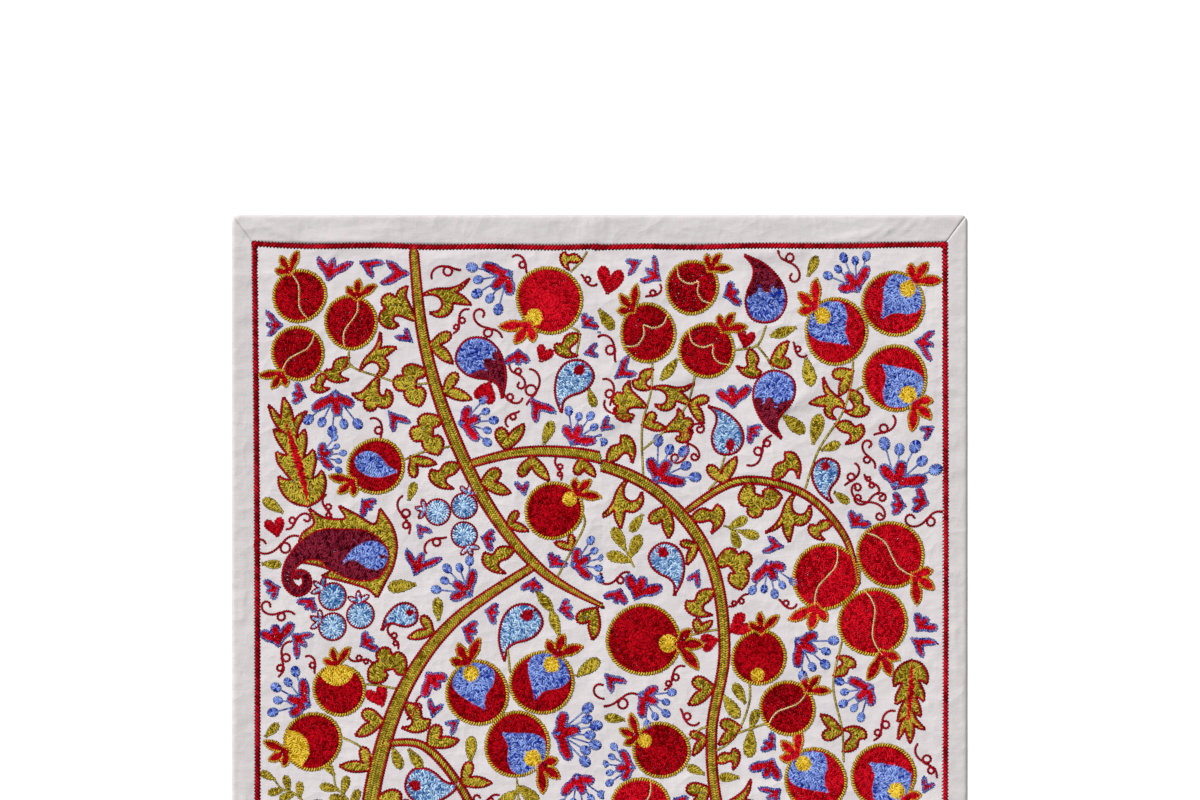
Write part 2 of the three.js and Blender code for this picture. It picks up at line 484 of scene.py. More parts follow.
# Lines inside a fruit, as shares of its radius, with the crown at the top: seams from edge to edge,
# closed shapes with their thread, and eyes with (distance from the middle, radius)
FRUIT_SEAMS = {
    "s_seam": [(0, 1), (0.1, 0.7), (0.12, 0.38), (-0.02, 0), (-0.16, -0.36), (-0.13, -0.7), (0, -1)],
    "lobed": [(-1, 0.12), (-0.6, -0.12), (-0.18, 0.02), (0.02, 0.34, TIP), (0.3, 0.02), (0.66, -0.04),
              (1, 0.16)],
}
FRUIT_SHAPES = {
    "drop": ("blue", [(-0.3, 0.93), (-0.68, 0.6), (-0.64, 0.22), (-0.36, -0.16), (0.06, -0.62, TIP),
                      (0.24, -0.18), (0.6, 0.12), (0.74, 0.55), (0.34, 0.92), (0.05, 0.97)]),
    "cap": ("yellow", [(-0.72, 0.66, TIP), (-0.42, 0.3), (0.02, 0.16), (0.46, 0.34), (0.7, 0.7, TIP),
                       (0.4, 0.9), (0, 0.98), (-0.4, 0.9)]),
    "paisley": ("blue", [(0.72, 0.28), (0.6, 0.56), (0.2, 0.62), (-0.24, 0.36), (-0.5, -0.06),
                         (-0.62, -0.6, TIP), (-0.2, -0.4), (0.3, -0.32), (0.64, -0.06)]),
}
FRUIT_EYES = {"drop": (0.66, 0.27), "eye": (0.7, 0.26), "foot_eye": (-0.66, 0.26)}
FRUIT_EDGE = 1.8  # how far inside its outline a fruit's fill starts
SEAM_EDGE = 1.5
INSET_EDGE = {"drop": 0.2, "cap": 0.6, "paisley": 0.2}
EYE_EDGE = 0.2
CROWN_SEAT = 0.97
CROWN_SIZE = 0.86


def fruit(x, y, radius, growth, kind, red="red"):
    """A pomegranate with its crown; growth is the way that the crown points."""
    round_one = turned(disc(radius, 0.022, x + y), x, y, growth)

    def local(marks, closed=False):
        line = curve([(u * radius, v * radius, *rest) for u, v, *rest in marks], closed)
        return turned(line, x, y, growth)

    tip = pointing(growth)
    crown(*(CROWN_SEAT * radius * tip + [x, y]), growth, radius * CROWN_SIZE, red)
    if kind in FRUIT_SEAMS:
        seam = evenly(local(FRUIT_SEAMS[kind]), 2)
        for half in split(evenly(round_one, 2, closed=True), seam):
            fill(half, red, SEAM_EDGE)
        stitch_line(seam, "cream", "thin", over=True, size=0.76)
    else:
        insets = []
        if kind in FRUIT_EYES:
            away, wide = FRUIT_EYES[kind]
            eye = turned(disc(radius * wide), *(away * radius * tip + [x, y]), 0)
            fill(eye, "yellow", EYE_EDGE)
            insets.append((eye, "yellow"))
        if kind in FRUIT_SHAPES:
            thread, marks = FRUIT_SHAPES[kind]
            shape = local(marks, closed=True)
            fill(shape, thread, INSET_EDGE[kind], [inset for inset, _ in insets])
            insets.insert(0, (shape, thread))
        fill(round_one, red, FRUIT_EDGE, [inset for inset, _ in insets])
        for inset, thread in insets:
            crisp(inset, thread)
    stitch_line(round_one, "yellow", "teeth", closed=True)
    settle(round_one)


def berry(x, y, radius, growth):
    """A small light-blue fruit."""
    crown(*(0.98 * radius * pointing(growth) + [x, y]), growth, radius * 0.95, "light_blue", "dark_red",
          "chain", BERRY_SEPALS)
    area(turned(disc(radius, 0.015, x), x, y, 0), "light_blue", "dark_red", edge_size=0.85, slant=22)


# The scalloped join between the two colours of a boteh, closed round its thick end
THICK_END = curve([
    (-30, 8, TIP), (-20, 10), (-9, 16), (-5, 24, TIP), (1, 11), (8, 11), (12, 22, TIP), (18, 12),
    (30, 16, TIP), (34, -20), (0, -34), (-32, -18)], closed=True)


def boteh(x, y, growth, size=1.0, kind="light", flip=False):
    """A boteh (paisley), light with an eye or in two tones."""
    outline = turned(BOTEH, x, y, growth, size, flip)
    if kind == "light":
        eye = turned(BOTEH_EYE, x, y, growth, size, flip)
        fill(eye, "dark_red", EYE_EDGE)
        area(outline, "light_blue", "dark_red", gaps=[eye])
    else:
        thick_end = turned(THICK_END, x, y, growth, size, flip)
        fill(clipped(evenly(outline, 2.0, closed=True), thick_end), "blue", 0.3)
        area(outline, "wine", "dark_red", gaps=[thick_end])


def clipped(outline, other):
    """The part of an outline that lies inside another, closed by that other's line."""
    kept = outline[inside(other, outline)]
    lid = other[inside(outline, other)]
    if not len(kept) or not len(lid):
        return outline
    # both lines start where their kept run begins
    gap = np.hypot(*(kept - np.roll(kept, 1, axis=0)).T).argmax()
    kept = np.roll(kept, -gap, axis=0)
    gap = np.hypot(*(lid - np.roll(lid, 1, axis=0)).T).argmax()
    lid = np.roll(lid, -gap, axis=0)
    if np.hypot(*(kept[-1] - lid[0])) > np.hypot(*(kept[-1] - lid[-1])):
        lid = lid[::-1]
    return np.vstack([kept, lid])


# Bends of the curls, as winding takes them
TENDRILS = [
    [(15, -60, -40), (38, 6.5, 5.5), (34, 30, 11)],
    [(12, 40, 18), (28, 5.5, 3.6), (12, 30, 12), (34, -6.5, -4.6), (32, -30, -11)],
    [(30, 5, 11), (26, 14, 40), (34, -6.5, -5), (24, -30, -12)],
]
SCROLLS = [
    [(34, 3.5, 10), (34, 14, 60), (32, -30, -14), (34, -10, -3.5)],
    [(30, 3.2, 8), (20, 12, 30), (26, -20, -9), (26, -7, -3)],
]


CURL_STITCH = 0.8


def tendril(x, y, growth, kind=0, size=1.0):
    """A thin curl with loops, centred on its place."""
    placed = turned(winding(TENDRILS[kind]), x, y, growth, size)
    stitch_line(placed, "dark_red", "chain", size=CURL_STITCH)
    claim(placed, closed=False)


def scroll(x, y, growth, size=1.0):
    """Curls that wind up at their ends, one crossing the other."""
    for bends, turn, across in zip(SCROLLS, (0, 75), (0, 5)):
        placed = turned(winding(bends) + [across, 0], x, y, growth + turn, size)
        stitch_line(placed, "dark_red", "chain", size=CURL_STITCH)
        claim(placed, closed=False)


BUD_PITCH = 2.1
BUD_SHADE = 0.3


def bud(x, y, radius, growth):
    """A small oval bud of stitches from its middle outwards."""
    count = round(2 * math.pi * radius * 0.62 / BUD_PITCH)
    turn = np.linspace(0, 2 * math.pi, count, endpoint=False) + x
    ring = turned(0.56 * radius * np.column_stack([np.cos(turn), 1.35 * np.sin(turn)]), x, y, growth)
    way = np.arctan2(ring[:, 1] - y, ring[:, 0] - x)
    sew("blue", ring, way, radius * 1.05, 3.8, shade(ring, BUD_SHADE))
    middle = np.array([[x, y]])
    sew("blue", middle, math.radians(growth), radius * 1.1, 3.0, shade(middle, BUD_SHADE), 1.2)
    settle(turned(disc(radius) * [0.95, 1.25], x, y, growth))


# Petals of the small flowers: their lengths in turn, and their width
SPRIG_PETALS = {"lengths": (29, 29, 38), "width": 14}
ROUND_PETALS = {"lengths": (26, 23, 32), "width": 12.5}
POINTED_PETALS = {"lengths": (30, 25, 37), "width": 8.5}
PETAL_ROOT = 7
PETAL_STITCH = 0.78


def spread_petals(x, y, growth, leans, size, kind, pointed=False):
    """Red petals edged in blue."""
    blades = [(lean, kind["lengths"][i % 3] * size) for i, lean in enumerate(leans)]
    outline = petals(blades, kind["width"] * size, PETAL_ROOT * size, pointed)
    area(turned(outline, x, y, growth), "red", "blue", "teeth", PETAL_STITCH)


def sprig(x, y, growth, leans=(-62, -8, 56), buds=5, size=1.0):
    """Petals with blue buds on thin stalks."""
    bud(x, y, 3.2 * size, growth)
    spread_petals(x, y, growth, leans, size, SPRIG_PETALS)
    for i, lean in enumerate(np.linspace(-46, 40, buds)):
        reach = (52 - 9 * (i % 2)) * size
        thread = np.outer([18 * size, reach], pointing(growth + lean)) + [x, y]
        stitch_line(thread, "blue", "thin", size=0.76)
        bud(*thread[1], (7.0 - 0.8 * (i % 2)) * size, growth + lean)


def flower(x, y, growth, leans=(-46, 2, 52), size=1.0, pointed=False):
    """Petals alone."""
    spread_petals(x, y, growth, leans, size, POINTED_PETALS if pointed else ROUND_PETALS, pointed)


def heart(x, y, growth, size=1.0):
    """A small red shape with two lobes."""
    plain(turned(HEART, x, y, growth, size), "red")


def lance(x, y, growth, size=1.0, shape=LANCE_LEAF):
    """A small plain leaf."""
    plain(turned(shape, x, y, growth, size), "olive")


def leaf(outline, x, y, growth, size=1.0):
    """An olive leaf with its dark red outline."""
    area(turned(outline, x, y, growth, size), "olive", "dark_red")


# One side of a feather leaf, as shares of its length
FEATHER_LOBES = [
    (0.11, 0.03), (0.185, 0.11), (0.215, 0.21), (0.2, 0.29, TIP), (0.15, 0.25), (0.095, 0.24, TIP),
    (0.135, 0.32), (0.175, 0.41), (0.17, 0.5, TIP), (0.11, 0.46), (0.065, 0.45, TIP), (0.11, 0.54),
    (0.135, 0.62), (0.14, 0.7, TIP), (0.08, 0.66), (0.045, 0.64, TIP)]


def feather_leaf(x, y, growth, length, flip=False):
    """A long leaf with lobes that point up its sides, and a thick red midrib."""
    other_side = [(-across, 1.08 * along + 0.02, *kind) for across, along, *kind in FEATHER_LOBES][::-1]
    outline = curve([
        (0, 0, TIP), *FEATHER_LOBES, (0.09, 0.74), (0.2, 0.86, TIP), (0.11, 0.84), (0.055, 0.79, TIP),
        (0.06, 0.92), (0.02, 1.04, TIP), (-0.02, 0.94), (-0.05, 0.85, TIP), (-0.08, 0.92),
        (-0.13, 1.0, TIP), (-0.125, 0.88), (-0.09, 0.77), *other_side], closed=True)
    rib = curve([(0, 0, TIP), (0.045, 0.25), (0.04, 0.5), (-0.01, 0.85, TIP), (-0.035, 0.55),
                 (-0.02, 0.28)], closed=True)
    rib = turned(rib, x, y, growth, length, flip)
    fill(rib, "red", 0.4)
    area(turned(outline, x, y, growth, length, flip), "olive", "dark_red", gaps=[rib])
    crisp(rib, "red")


# A large boteh that lies on its side, in a toothed sheath, with a smaller one inside it. Its body
# follows a line that ends in a curl, with (distance along the line, half its width) beside it.
SIDE_BOTEH_LINE = [
    (59, 0), (29, -4), (-1, 2), (-31, 10), (-57, 2), (-75, -16), (-79, -38), (-67, -52), (-54, -46),
    (-54, -32), (-64, -27), (-68, -34)]
SIDE_BOTEH_WIDTHS = [
    (0, 0.5), (3, 12), (9, 22), (18, 30), (30, 34), (48, 34.5), (66, 31), (82, 26), (100, 20),
    (118, 13.5), (134, 9), (150, 7), (170, 6), (200, 5.5), (222, 4.5), (238, 3)]
SHEATH = curve([
    (-67, 2, TIP), (-59, 26), (-43, 40), (-49, 60, TIP), (-29, 48), (-1, 47), (-9, 64, TIP), (15, 52),
    (39, 39), (47, 60, TIP), (63, 36), (69, 10), (64, -18), (54, -38), (43, -60, TIP), (29, -48),
    (1, -39), (-32, -31, TIP), (-21, -23), (-43, -15), (-63, -12, TIP)], closed=True)


def sheathed_boteh(x, y, growth=90):
    """The large boteh, drawn from its parts outwards."""
    line = evenly(curve(SIDE_BOTEH_LINE), 1.5)
    along = directions(line)
    side = np.column_stack([-along[:, 1], along[:, 0]])
    half = np.interp(np.arange(len(line)) * 1.5, *np.array(SIDE_BOTEH_WIDTHS, float).T)[:, None]
    body = turned(np.vstack([line + side * half, (line - side * half)[::-1]]), x, y, growth)
    child = turned(turned(BOTEH * 0.72, 38, -3, 180), x, y, growth)
    eye = turned(turned(DROP * 0.6, 58, -5, 176), x, y, growth)
    fill(eye, "wine", EYE_EDGE)
    fill(child, "blue", 0.6, [eye])
    area(body, "wine", "dark_red", gaps=[child])
    crisp(child, "blue")
    area(turned(SHEATH, x, y, growth), "olive", "dark_red")


RIBBON_EDGE = 1.2


def vine(marks, widths):
    """A main stem, with its widths from start to end: rows of stitches between two outlines."""
    line = evenly(curve(marks), 1.5)
    along = directions(line)
    side = np.column_stack([-along[:, 1], along[:, 0]])
    half = np.interp(np.linspace(0, 1, len(line)), np.linspace(0, 1, len(widths)), widths) / 2
    half *= np.sqrt(np.clip((np.arange(len(line)) + 1) / 5, 0, 1))
    sewn_width = (half.max() - RIBBON_EDGE) * 2
    rows = max(1, round(sewn_width / FILL_ROW))
    for k in range(rows):
        share = (2 * k + 1) / rows - 1
        row = evenly(line + side * ((half - RIBBON_EDGE) * share)[:, None], FILL_PITCH)
        row = row[~taken[cells(row)]]
        if len(row) > 2:
            heading = np.arctan2(*directions(row).T[::-1]) + math.radians(56 if k % 2 else 124)
            heading = heading + chance.normal(0, UNEVEN_TURN, len(row))
            sew("olive", row, heading, sewn_width / rows + FOOT["long"], FILL_PITCH + FOOT["wide"],
                shade(row, 0.22, seed=k))
    outline = np.vstack([line + side * half[:, None], (line - side * half[:, None])[::-1]])
    stitch_line(outline, "dark_red", "chain", closed=True)
    for share in np.linspace(-1, 1, int(half.max() * 3)):
        taken[cells(line + side * (half * share)[:, None])] = True
    claim(line, closed=False, reach=60, width=half.max())
    return line


def stalk(marks):
    """A thin stem."""
    line = evenly(curve(marks), 2.0)
    stitch_line(line, "stalk", "thin")
    claim(line, closed=False)
    return line


LEAVES = [HORN_LEAF, SCROLL_LEAF, HEART_LEAF, PRONG_LEAF, PAIR_LEAF, CURL_LEAF, HOOK_LEAF]
LEAF_CLEAR = 3
LEAF_JOINED = 15  # a leaf may touch its stem this far from its foot
LEAF_LEANS = (62, 88, 42, 108)
SPRIG_STANDS_OFF = 9
SPRIG_LEAN = 82


def fits(outline, attached=0):
    """Whether a motif's outline is clear of all others, but for its attached end."""
    points = evenly(outline, 3.0, closed=True)
    far = np.hypot(*(points - points[0]).T) > attached
    points = points[far]
    clear = np.abs(points[:, 0]) < DRAWN_ACROSS - 2
    clear &= np.abs(points[:, 1]) < DRAWN_ALONG - 1
    row, column = cells(points)
    for dx, dy in ((0, 0), (LEAF_CLEAR, 0), (-LEAF_CLEAR, 0), (0, LEAF_CLEAR), (0, -LEAF_CLEAR)):
        clear &= ~taken[np.clip(row + dy, 0, LENGTH - 1), np.clip(column + dx, 0, WIDTH - 1)]
    return clear.all()


SPRIG_ROOM = curve([(0, 0, TIP), (28, 14), (36, 36), (16, 54), (-16, 54), (-36, 36), (-28, 14)], closed=True)
turns_taken = {"leaf": 0, "place": 0}  # how many leaf shapes and places along the stems are used up


def leaves_along(line, half_width, spacing, start, sizes=(0.9, 0.78, 0.66), sprig_every=4):
    """Leaves on both sides of a stem, and now and then a sprig, wherever there is room."""
    line = evenly(line, 2.0)
    along = directions(line)
    side = 1
    at = start
    while at < 2.0 * (len(line) - 1):
        i = int(at / 2)
        side = -side
        at += spacing
        turns_taken["place"] += 1
        normal = np.array([-along[i, 1], along[i, 0]]) * side
        heading = math.degrees(math.atan2(along[i, 1], along[i, 0]))
        foot = line[i] + normal * half_width
        if turns_taken["place"] % sprig_every == 0:
            root = line[i] + normal * (half_width + SPRIG_STANDS_OFF)
            if sprig_if_room(root, heading + side * SPRIG_LEAN):
                continue
        leaf_if_room(foot, heading, side, sizes)


def sprig_if_room(foot, growth):
    """Draws a sprig where one fits, and says whether it did."""
    for size in (1.0, 0.85):
        if fits(turned(SPRIG_ROOM, *foot, growth, size)):
            sprig(*foot, growth, size=size)
            return True
    return False


def leaf_if_room(foot, heading, side, sizes):
    """Draws the first leaf, of the shapes in turn, that fits."""
    for size in sizes:
        for step in range(len(LEAVES)):
            shape = LEAVES[(turns_taken["leaf"] + step) % len(LEAVES)]
            for lean in LEAF_LEANS:
                outline = turned(shape, *foot, heading + side * lean, size, side > 0)
                if fits(outline, LEAF_JOINED * size):
                    area(outline, "olive", "dark_red")
                    turns_taken["leaf"] += step + 1
                    return


def border():
    """The red line all round the drawing."""
    top = [(-469, 711), (-430, 708.5), (-380, 707), (-300, 708.5), (-230, 706), (-150, 707), (-60, 705.5),
           (0, 707), (60, 708.5), (130, 707.5), (210, 709.5), (330, 709), (400, 710.5), (470, 711)]
    right = [(470, 711), (471, 300), (470, -150), (471, -500), (470, -711)]
    bottom = [(470, -711), (240, -708), (20, -707), (-200, -708), (-469, -711)]
    left = [(-469, -711), (-466, -300), (-465, 80), (-466, 400), (-469, 711)]
    for marks in (top, right, bottom, left):
        stitch_line(curve(marks), "border", "rope", over=True)


# Main stems: marks along each, and its widths from start to end
VINES = [
    ([(-253, 704), (-240, 585), (-207, 470), (-150, 352), (-78, 266), (8, 216)], [10, 13, 15, 15, 12, 3]),
    ([(-86, 275), (-195, 200), (-262, 112), (-302, 0), (-322, -130), (-335, -270), (-300, -420),
      (-205, -530), (-80, -585), (60, -600)], [9, 13, 18, 20, 20, 20, 18, 14, 10, 4]),
    ([(-188, 408), (-100, 428), (0, 420), (85, 378), (150, 292), (170, 170), (152, 50), (168, -70),
      (235, -190), (330, -280), (385, -400), (372, -530)], [8, 12, 14, 14, 13, 12, 12, 13, 14, 13, 10, 4]),
    ([(116, 356), (190, 398), (275, 382), (332, 325), (352, 258)], [6, 9, 9, 7, 4]),
    ([(-298, 30), (-240, 28), (-188, -30), (-150, -110)], [6, 9, 9, 4]),
    ([(172, -80), (90, -190), (-40, -235), (-140, -320), (-130, -440)], [8, 12, 12, 10, 4]),
]

FRUITS = [
    # x, y, radius, growth, kind, thread
    (-408, 640, 35, 112, "s_seam", "crimson"), (-338, 604, 35, 76, "s_seam", "crimson"),
    (-410, 562, 35, 230, "s_seam", "crimson"), (-68, 634, 44, 228, "eye", "red"),
    (66, 598, 37, 124, "lobed", "crimson"), (126, 657, 34, 44, "lobed", "crimson"),
    (146, 575, 36, 50, "lobed", "crimson"), (322, 600, 42, 132, "drop", "red"),
    (400, 636, 41, 45, "drop", "red"), (402, 538, 43, 308, "drop", "red"),
    (-304, 408, 37, 212, "paisley", "crimson"), (-62, 348, 38, 36, "eye", "crimson"),
    (308, 268, 44, 250, "s_seam", "red"), (396, 298, 44, 318, "s_seam", "red"),
    (372, 206, 45, 285, "s_seam", "red"), (60, 182, 48, 352, "eye", "crimson"),
    (217, 158, 36, 85, "foot_eye", "crimson"), (256, 89, 36, 42, "s_seam", "crimson"),
    (84, 32, 37, 150, "eye", "crimson"), (-166, 100, 42, 108, "drop", "crimson"),
    (-78, 114, 42, 62, "drop", "crimson"), (-112, 30, 43, 318, "drop", "crimson"),
    (-354, 104, 34, 96, "cap", "crimson"), (-390, 34, 38, 200, "cap", "crimson"),
    (294, -8, 41, 128, "drop", "red"), (386, -2, 42, 311, "drop", "red"),
    (56, -44, 38, 250, "s_seam", "red"),
]

BOTEHS = [
    # x, y, growth, size, kind, flip
    (-166, 556, 318, 1.0, "two_tone", True), (-32, 530, 232, 0.82, "light", False),
    (226, 640, 100, 1.0, "two_tone", False), (238, 520, 262, 1.0, "two_tone", False),
    (174, 456, 104, 0.78, "light", False), (308, 410, 266, 0.66, "light", False),
    (90, 292, 300, 0.78, "light", True), (-264, 206, 196, 0.58, "light", False),
    (-104, 196, 228, 0.9, "light", False), (-240, -26, 352, 0.85, "light", False),
]

BERRIES = [
    (-220, 346, 17, 170), (-184, 354, 17, 72), (-184, 315, 17, 290),
    (-363, 231, 18, 142), (-325, 206, 18, 96), (-363, 190, 18, 156),
]

# Thin stems, from their fruit to the main stem
STALKS = [
    [(-340, 568), (-338, 545), (-300, 530), (-262, 520), (-224, 522)],
    [(-384, 538), (-362, 534), (-338, 545)],
    [(72, 562), (70, 520), (58, 470), (60, 396)],
    [(130, 542), (118, 500), (84, 462), (58, 440)],
    [(345, 560), (342, 530), (330, 490), (298, 440), (280, 388)],
    [(362, 528), (350, 522), (338, 510)],
    [(-268, 416), (-238, 428), (-198, 436)],
    [(226, 606), (214, 582), (184, 576)],
    [(238, 548), (226, 568), (214, 582)],
    [(170, 430), (160, 400), (150, 388)],
    [(-36, 596), (-27, 588), (-31, 562)],
    [(-18, 698), (-26, 686), (-38, 674)],
    [(-28, 352), (-20, 330), (-40, 290), (-58, 256)],
    [(-128, 172), (-124, 152), (-122, 130)],
    [(204, 126), (204, 98), (192, 64), (176, 42), (156, 30)],
    [(232, 70), (208, 62), (190, 56)],
    [(118, 44), (136, 60), (150, 64)],
    [(-320, 112), (-300, 110), (-268, 104)],
    [(-352, 40), (-330, 30), (-306, 12)],
    [(332, 18), (330, 60), (318, 120), (330, 180)],
    [(96, 178), (130, 190), (160, 196)],
]


# Small motifs: the drawing in FILLERS, then x, y, growth, size
SMALL = [
    ("spikes", -374, 672, 78, 1.0), ("spikes", -437, 598, 180, 1.0), ("pair", -260, 670, 180, 1.1),
    ("sprig", -121, 667, 215, 0.95), ("tendril", -156, 600, 30, 1.0), ("heart", 13, 651, 74, 1.1),
    ("tendril", 19, 588, 100, 1.0), ("heart", -80, 552, 60, 0.7), ("heart", -150, 523, 244, 0.9),
    ("tendril", -92, 513, 60, 1.2), ("tendril", -128, 510, 320, 0.7), ("pair", -90, 497, 312, 1.1),
    ("tendril", 14, 520, 80, 0.9), ("tendril", 24, 494, 110, 0.9), ("sprig", -190, 470, 8, 0.85),
    ("sprig", -146, 430, 82, 1.0), ("sprig", -36, 430, 58, 0.8), ("pair", 24, 544, 40, 1.0),
    ("tendril", 258, 683, 200, 0.9), ("heart", 198, 572, 74, 0.7), ("flower", 179, 500, 96, 1.0),
    ("scroll", 118, 448, 0, 1.0), ("lance", 232, 594, 18, 0.9), ("lance", 84, 534, 52, 0.9),
    ("sprig", 358, 655, 118, 0.85), ("spikes", 430, 588, 350, 1.1), ("tendril", 390, 472, 20, 0.9),
    ("tendril", 344, 403, 40, 0.8), ("sprig", 402, 394, 66, 1.1), ("spoon", 289, 448, 78, 1.1),
    ("spoon", 291, 447, 20, 0.7), ("sprig", 232, 286, 285, 0.8), ("tendril", 440, 346, 90, 1.0),
    ("sprig", 274, 183, 322, 0.9), ("branch", 414, 172, 66, 1.0), ("sprig", 367, 134, 214, 0.95),
    ("heart", 158, 182, 190, 1.0), ("heart", 172, 190, 28, 1.0), ("spoon", 163, 110, 305, 1.0),
    ("spoon", 205, 92, 120, 0.8), ("spoon", 208, 62, 72, 0.9), ("spoon", 206, 60, 266, 1.0),
    ("flower", 240, 20, 248, 0.95), ("tendril", 446, 14, 90, 1.2), ("spoon", 176, -4, 180, 0.7),
    ("flower", -105, 271, 264, 0.9), ("flower", -163, 226, 350, 0.9), ("flower", -194, 195, 344, 0.9),
    ("flower", -60, 258, 54, 1.0), ("sprig", -38, 284, 16, 0.8), ("tendril", 19, 263, 90, 0.8),
    ("flower", 41, 243, 68, 1.1), ("lance", -71, 227, 128, 0.9), ("lance", -68, 222, 288, 0.9),
    ("fan", -56, 56, 0, 1.3), ("tendril", 19, 100, 80, 1.2), ("sprig", 40, 121, 326, 0.8),
    ("tendril", 101, 128, 20, 0.8), ("sprig", 54, 3, 176, 0.7), ("flower", -436, 167, 104, 1.0),
    ("spikes", -414, 176, 322, 0.8), ("tendril", -438, 212, 60, 0.9), ("tendril", -430, 152, 40, 1.0),
    ("sprig", -390, 80, 154, 1.1), ("heart", -291, 93, 112, 0.9), ("flower", -243, 134, 308, 0.9),
    ("tendril", -248, 89, 20, 0.8), ("branch", -402, -40, 148, 1.0), ("branch", -318, -46, 122, 0.9),
    ("spoon", -282, 24, 292, 0.8), ("spoon", -258, 20, 306, 0.8), ("sprig", -361, 503, 268, 0.95),
    ("sprig", -392, 424, 10, 0.85), ("tendril", -302, 462, 90, 0.8), ("tendril", -368, 352, 70, 0.7),
    ("tendril", -264, 338, 70, 1.0), ("tendril", -436, 300, 90, 1.2), ("heart", -440, 318, 100, 0.8),
]


def trio(x, y, growth, size):
    """Three fruit round one place."""
    for turn, kind in ((0, "drop"), (120, "s_seam"), (240, "eye")):
        centre = 46 * size * pointing(growth + turn) + [x, y]
        thread = "red" if size > 0.95 else "crimson"
        fruit(*centre, 38 * size, growth + turn, kind, thread)


def lance_sprig(x, y, growth, size=1.0):
    """Plain leaves on a thin stem."""
    way = pointing(growth)
    foot = np.array([x, y])
    stitch_line(np.array([foot, foot + way * 16 * size, foot + way * 30 * size]), "stalk", "thin", size=0.9)
    for lean, share in ((48, 8), (-52, 14), (3, 28)):
        lance(*(foot + way * share * size), growth + lean, size)


def branch(x, y, growth, size=1.0):
    """A stem with plain leaves in turn on either side."""
    stem = turned(curve([(0, 0), (3, 24), (-2, 48), (6, 68)]), x, y, growth, size)
    stitch_line(stem, "stalk", "thin", size=0.9)
    for share, lean in ((0.16, -58), (0.3, 50), (0.46, -44), (0.6, 46), (0.98, 4)):
        lance(*stem[int(share * (len(stem) - 1))], growth + lean, 0.8 * size)


# Motifs to fill room with: the drawing, its reach and how far in front of its foot its middle lies
FILLERS = {
    "trio": (trio, 96, 0),
    "fruit": (lambda x, y, g, s: fruit(x, y, 37 * s, g, "lobed" if y > x else "paisley", "crimson"), 54, 16),
    "boteh": (lambda x, y, g, s: boteh(x, y, g, s, "light" if y > x else "two_tone"), 48, 15),
    "leaf": (lambda x, y, g, s: leaf(LEAVES[int(abs(x + y)) % len(LEAVES)], x, y, g, s), 33, 28),
    "sprig": (lambda x, y, g, s: sprig(x, y, g, size=s), 40, 26),
    "bud": (lambda x, y, g, s: sprig(x, y, g, (-32, 30), 3, s), 38, 26),
    "fan": (lambda x, y, g, s: sprig(x, y, g, (-72, -10, 66), 7, s), 46, 26),
    "lances": (lance_sprig, 31, 28),
    "branch": (branch, 50, 44),
    "scroll": (scroll, 33, 0),
    "tendril": (lambda x, y, g, s: tendril(x, y, g, int(abs(x)) % len(TENDRILS), s), 21, 0),
    "flower": (lambda x, y, g, s: flower(x, y, g, size=s), 25, 11),
    "pair": (lambda x, y, g, s: flower(x, y, g, (-24, 34), s, True), 22, 13),
    "spikes": (lambda x, y, g, s: flower(x, y, g, (-44, 2, 46), s, True), 28, 14),
    "heart": (heart, 17, 12),
    "lance": (lambda x, y, g, s: lance(x, y, g, s, POINTED_LEAF), 19, 20),
    "spoon": (lance, 19, 20),
}
LEAST_SIZE = 0.6

# The least room for each group of motifs, which take turns
FILL_TURNS = [
    (86, ["trio"]),
    (47, ["fruit", "boteh"]),
    (33, ["sprig", "leaf", "scroll", "sprig", "branch"]),
    (25, ["spikes", "bud", "lances", "flower", "tendril", "leaf"]),
    (19, ["tendril", "flower", "pair", "flower", "spoon", "spikes"]),
    (15, ["pair", "tendril", "flower", "spoon"]),
]


SEAT_REACH = 18  # how far a small motif may be moved
SEAT_CLOSE = 0.86  # the share of its reach that a seated motif needs
SEAT_LEAST = 0.58


def seat(name, x, y, growth, size):
    """Draws a small motif at its place, or beside it where that leaves more room, or not at all."""
    draw, reach, ahead = FILLERS[name]
    way = pointing(growth)
    wanted = np.array([x, y]) + ahead * size * way
    columns = np.flatnonzero(np.abs(room_x - wanted[0]) < SEAT_REACH)
    rows = np.flatnonzero(np.abs(room_y - wanted[1]) < SEAT_REACH)
    free = room[np.ix_(rows, columns)]
    grid = np.stack(np.meshgrid(room_x[columns], room_y[rows]), axis=-1)
    away = np.hypot(*np.moveaxis(grid - wanted, -1, 0))
    worth = np.minimum(free, 0.85 * reach * size) - 0.25 * away
    best = np.unravel_index(worth.argmax(), worth.shape)
    size = min(size, free[best] / (SEAT_CLOSE * reach))
    if size > SEAT_LEAST:
        draw(*(grid[best] - ahead * size * way), growth, size)


def fill_room():
    """Puts a motif in the widest free place, again and again."""
    used = {}
    turns = np.random.default_rng(12)
    while room.max() >= FILL_TURNS[-1][0]:
        row, column = np.unravel_index(room.argmax(), room.shape)
        free = room[row, column]
        least, names = next(group for group in FILL_TURNS if free >= group[0])
        name = names[used.get(least, 0) % len(names)]
        used[least] = used.get(least, 0) + 1
        draw, reach, ahead = FILLERS[name]
        size = min(1.0, max(LEAST_SIZE, (free - 3) / reach))
        growth = float(turns.uniform(0, 360))
        draw(*([room_x[column], room_y[row]] - ahead * size * pointing(growth)), growth, size)
        room[max(0, row - 1):row + 2, max(0, column - 1):column + 2] = 0


SEAM_ROOM = 7  # how far a motif may reach over the centre seam, where it is cut off


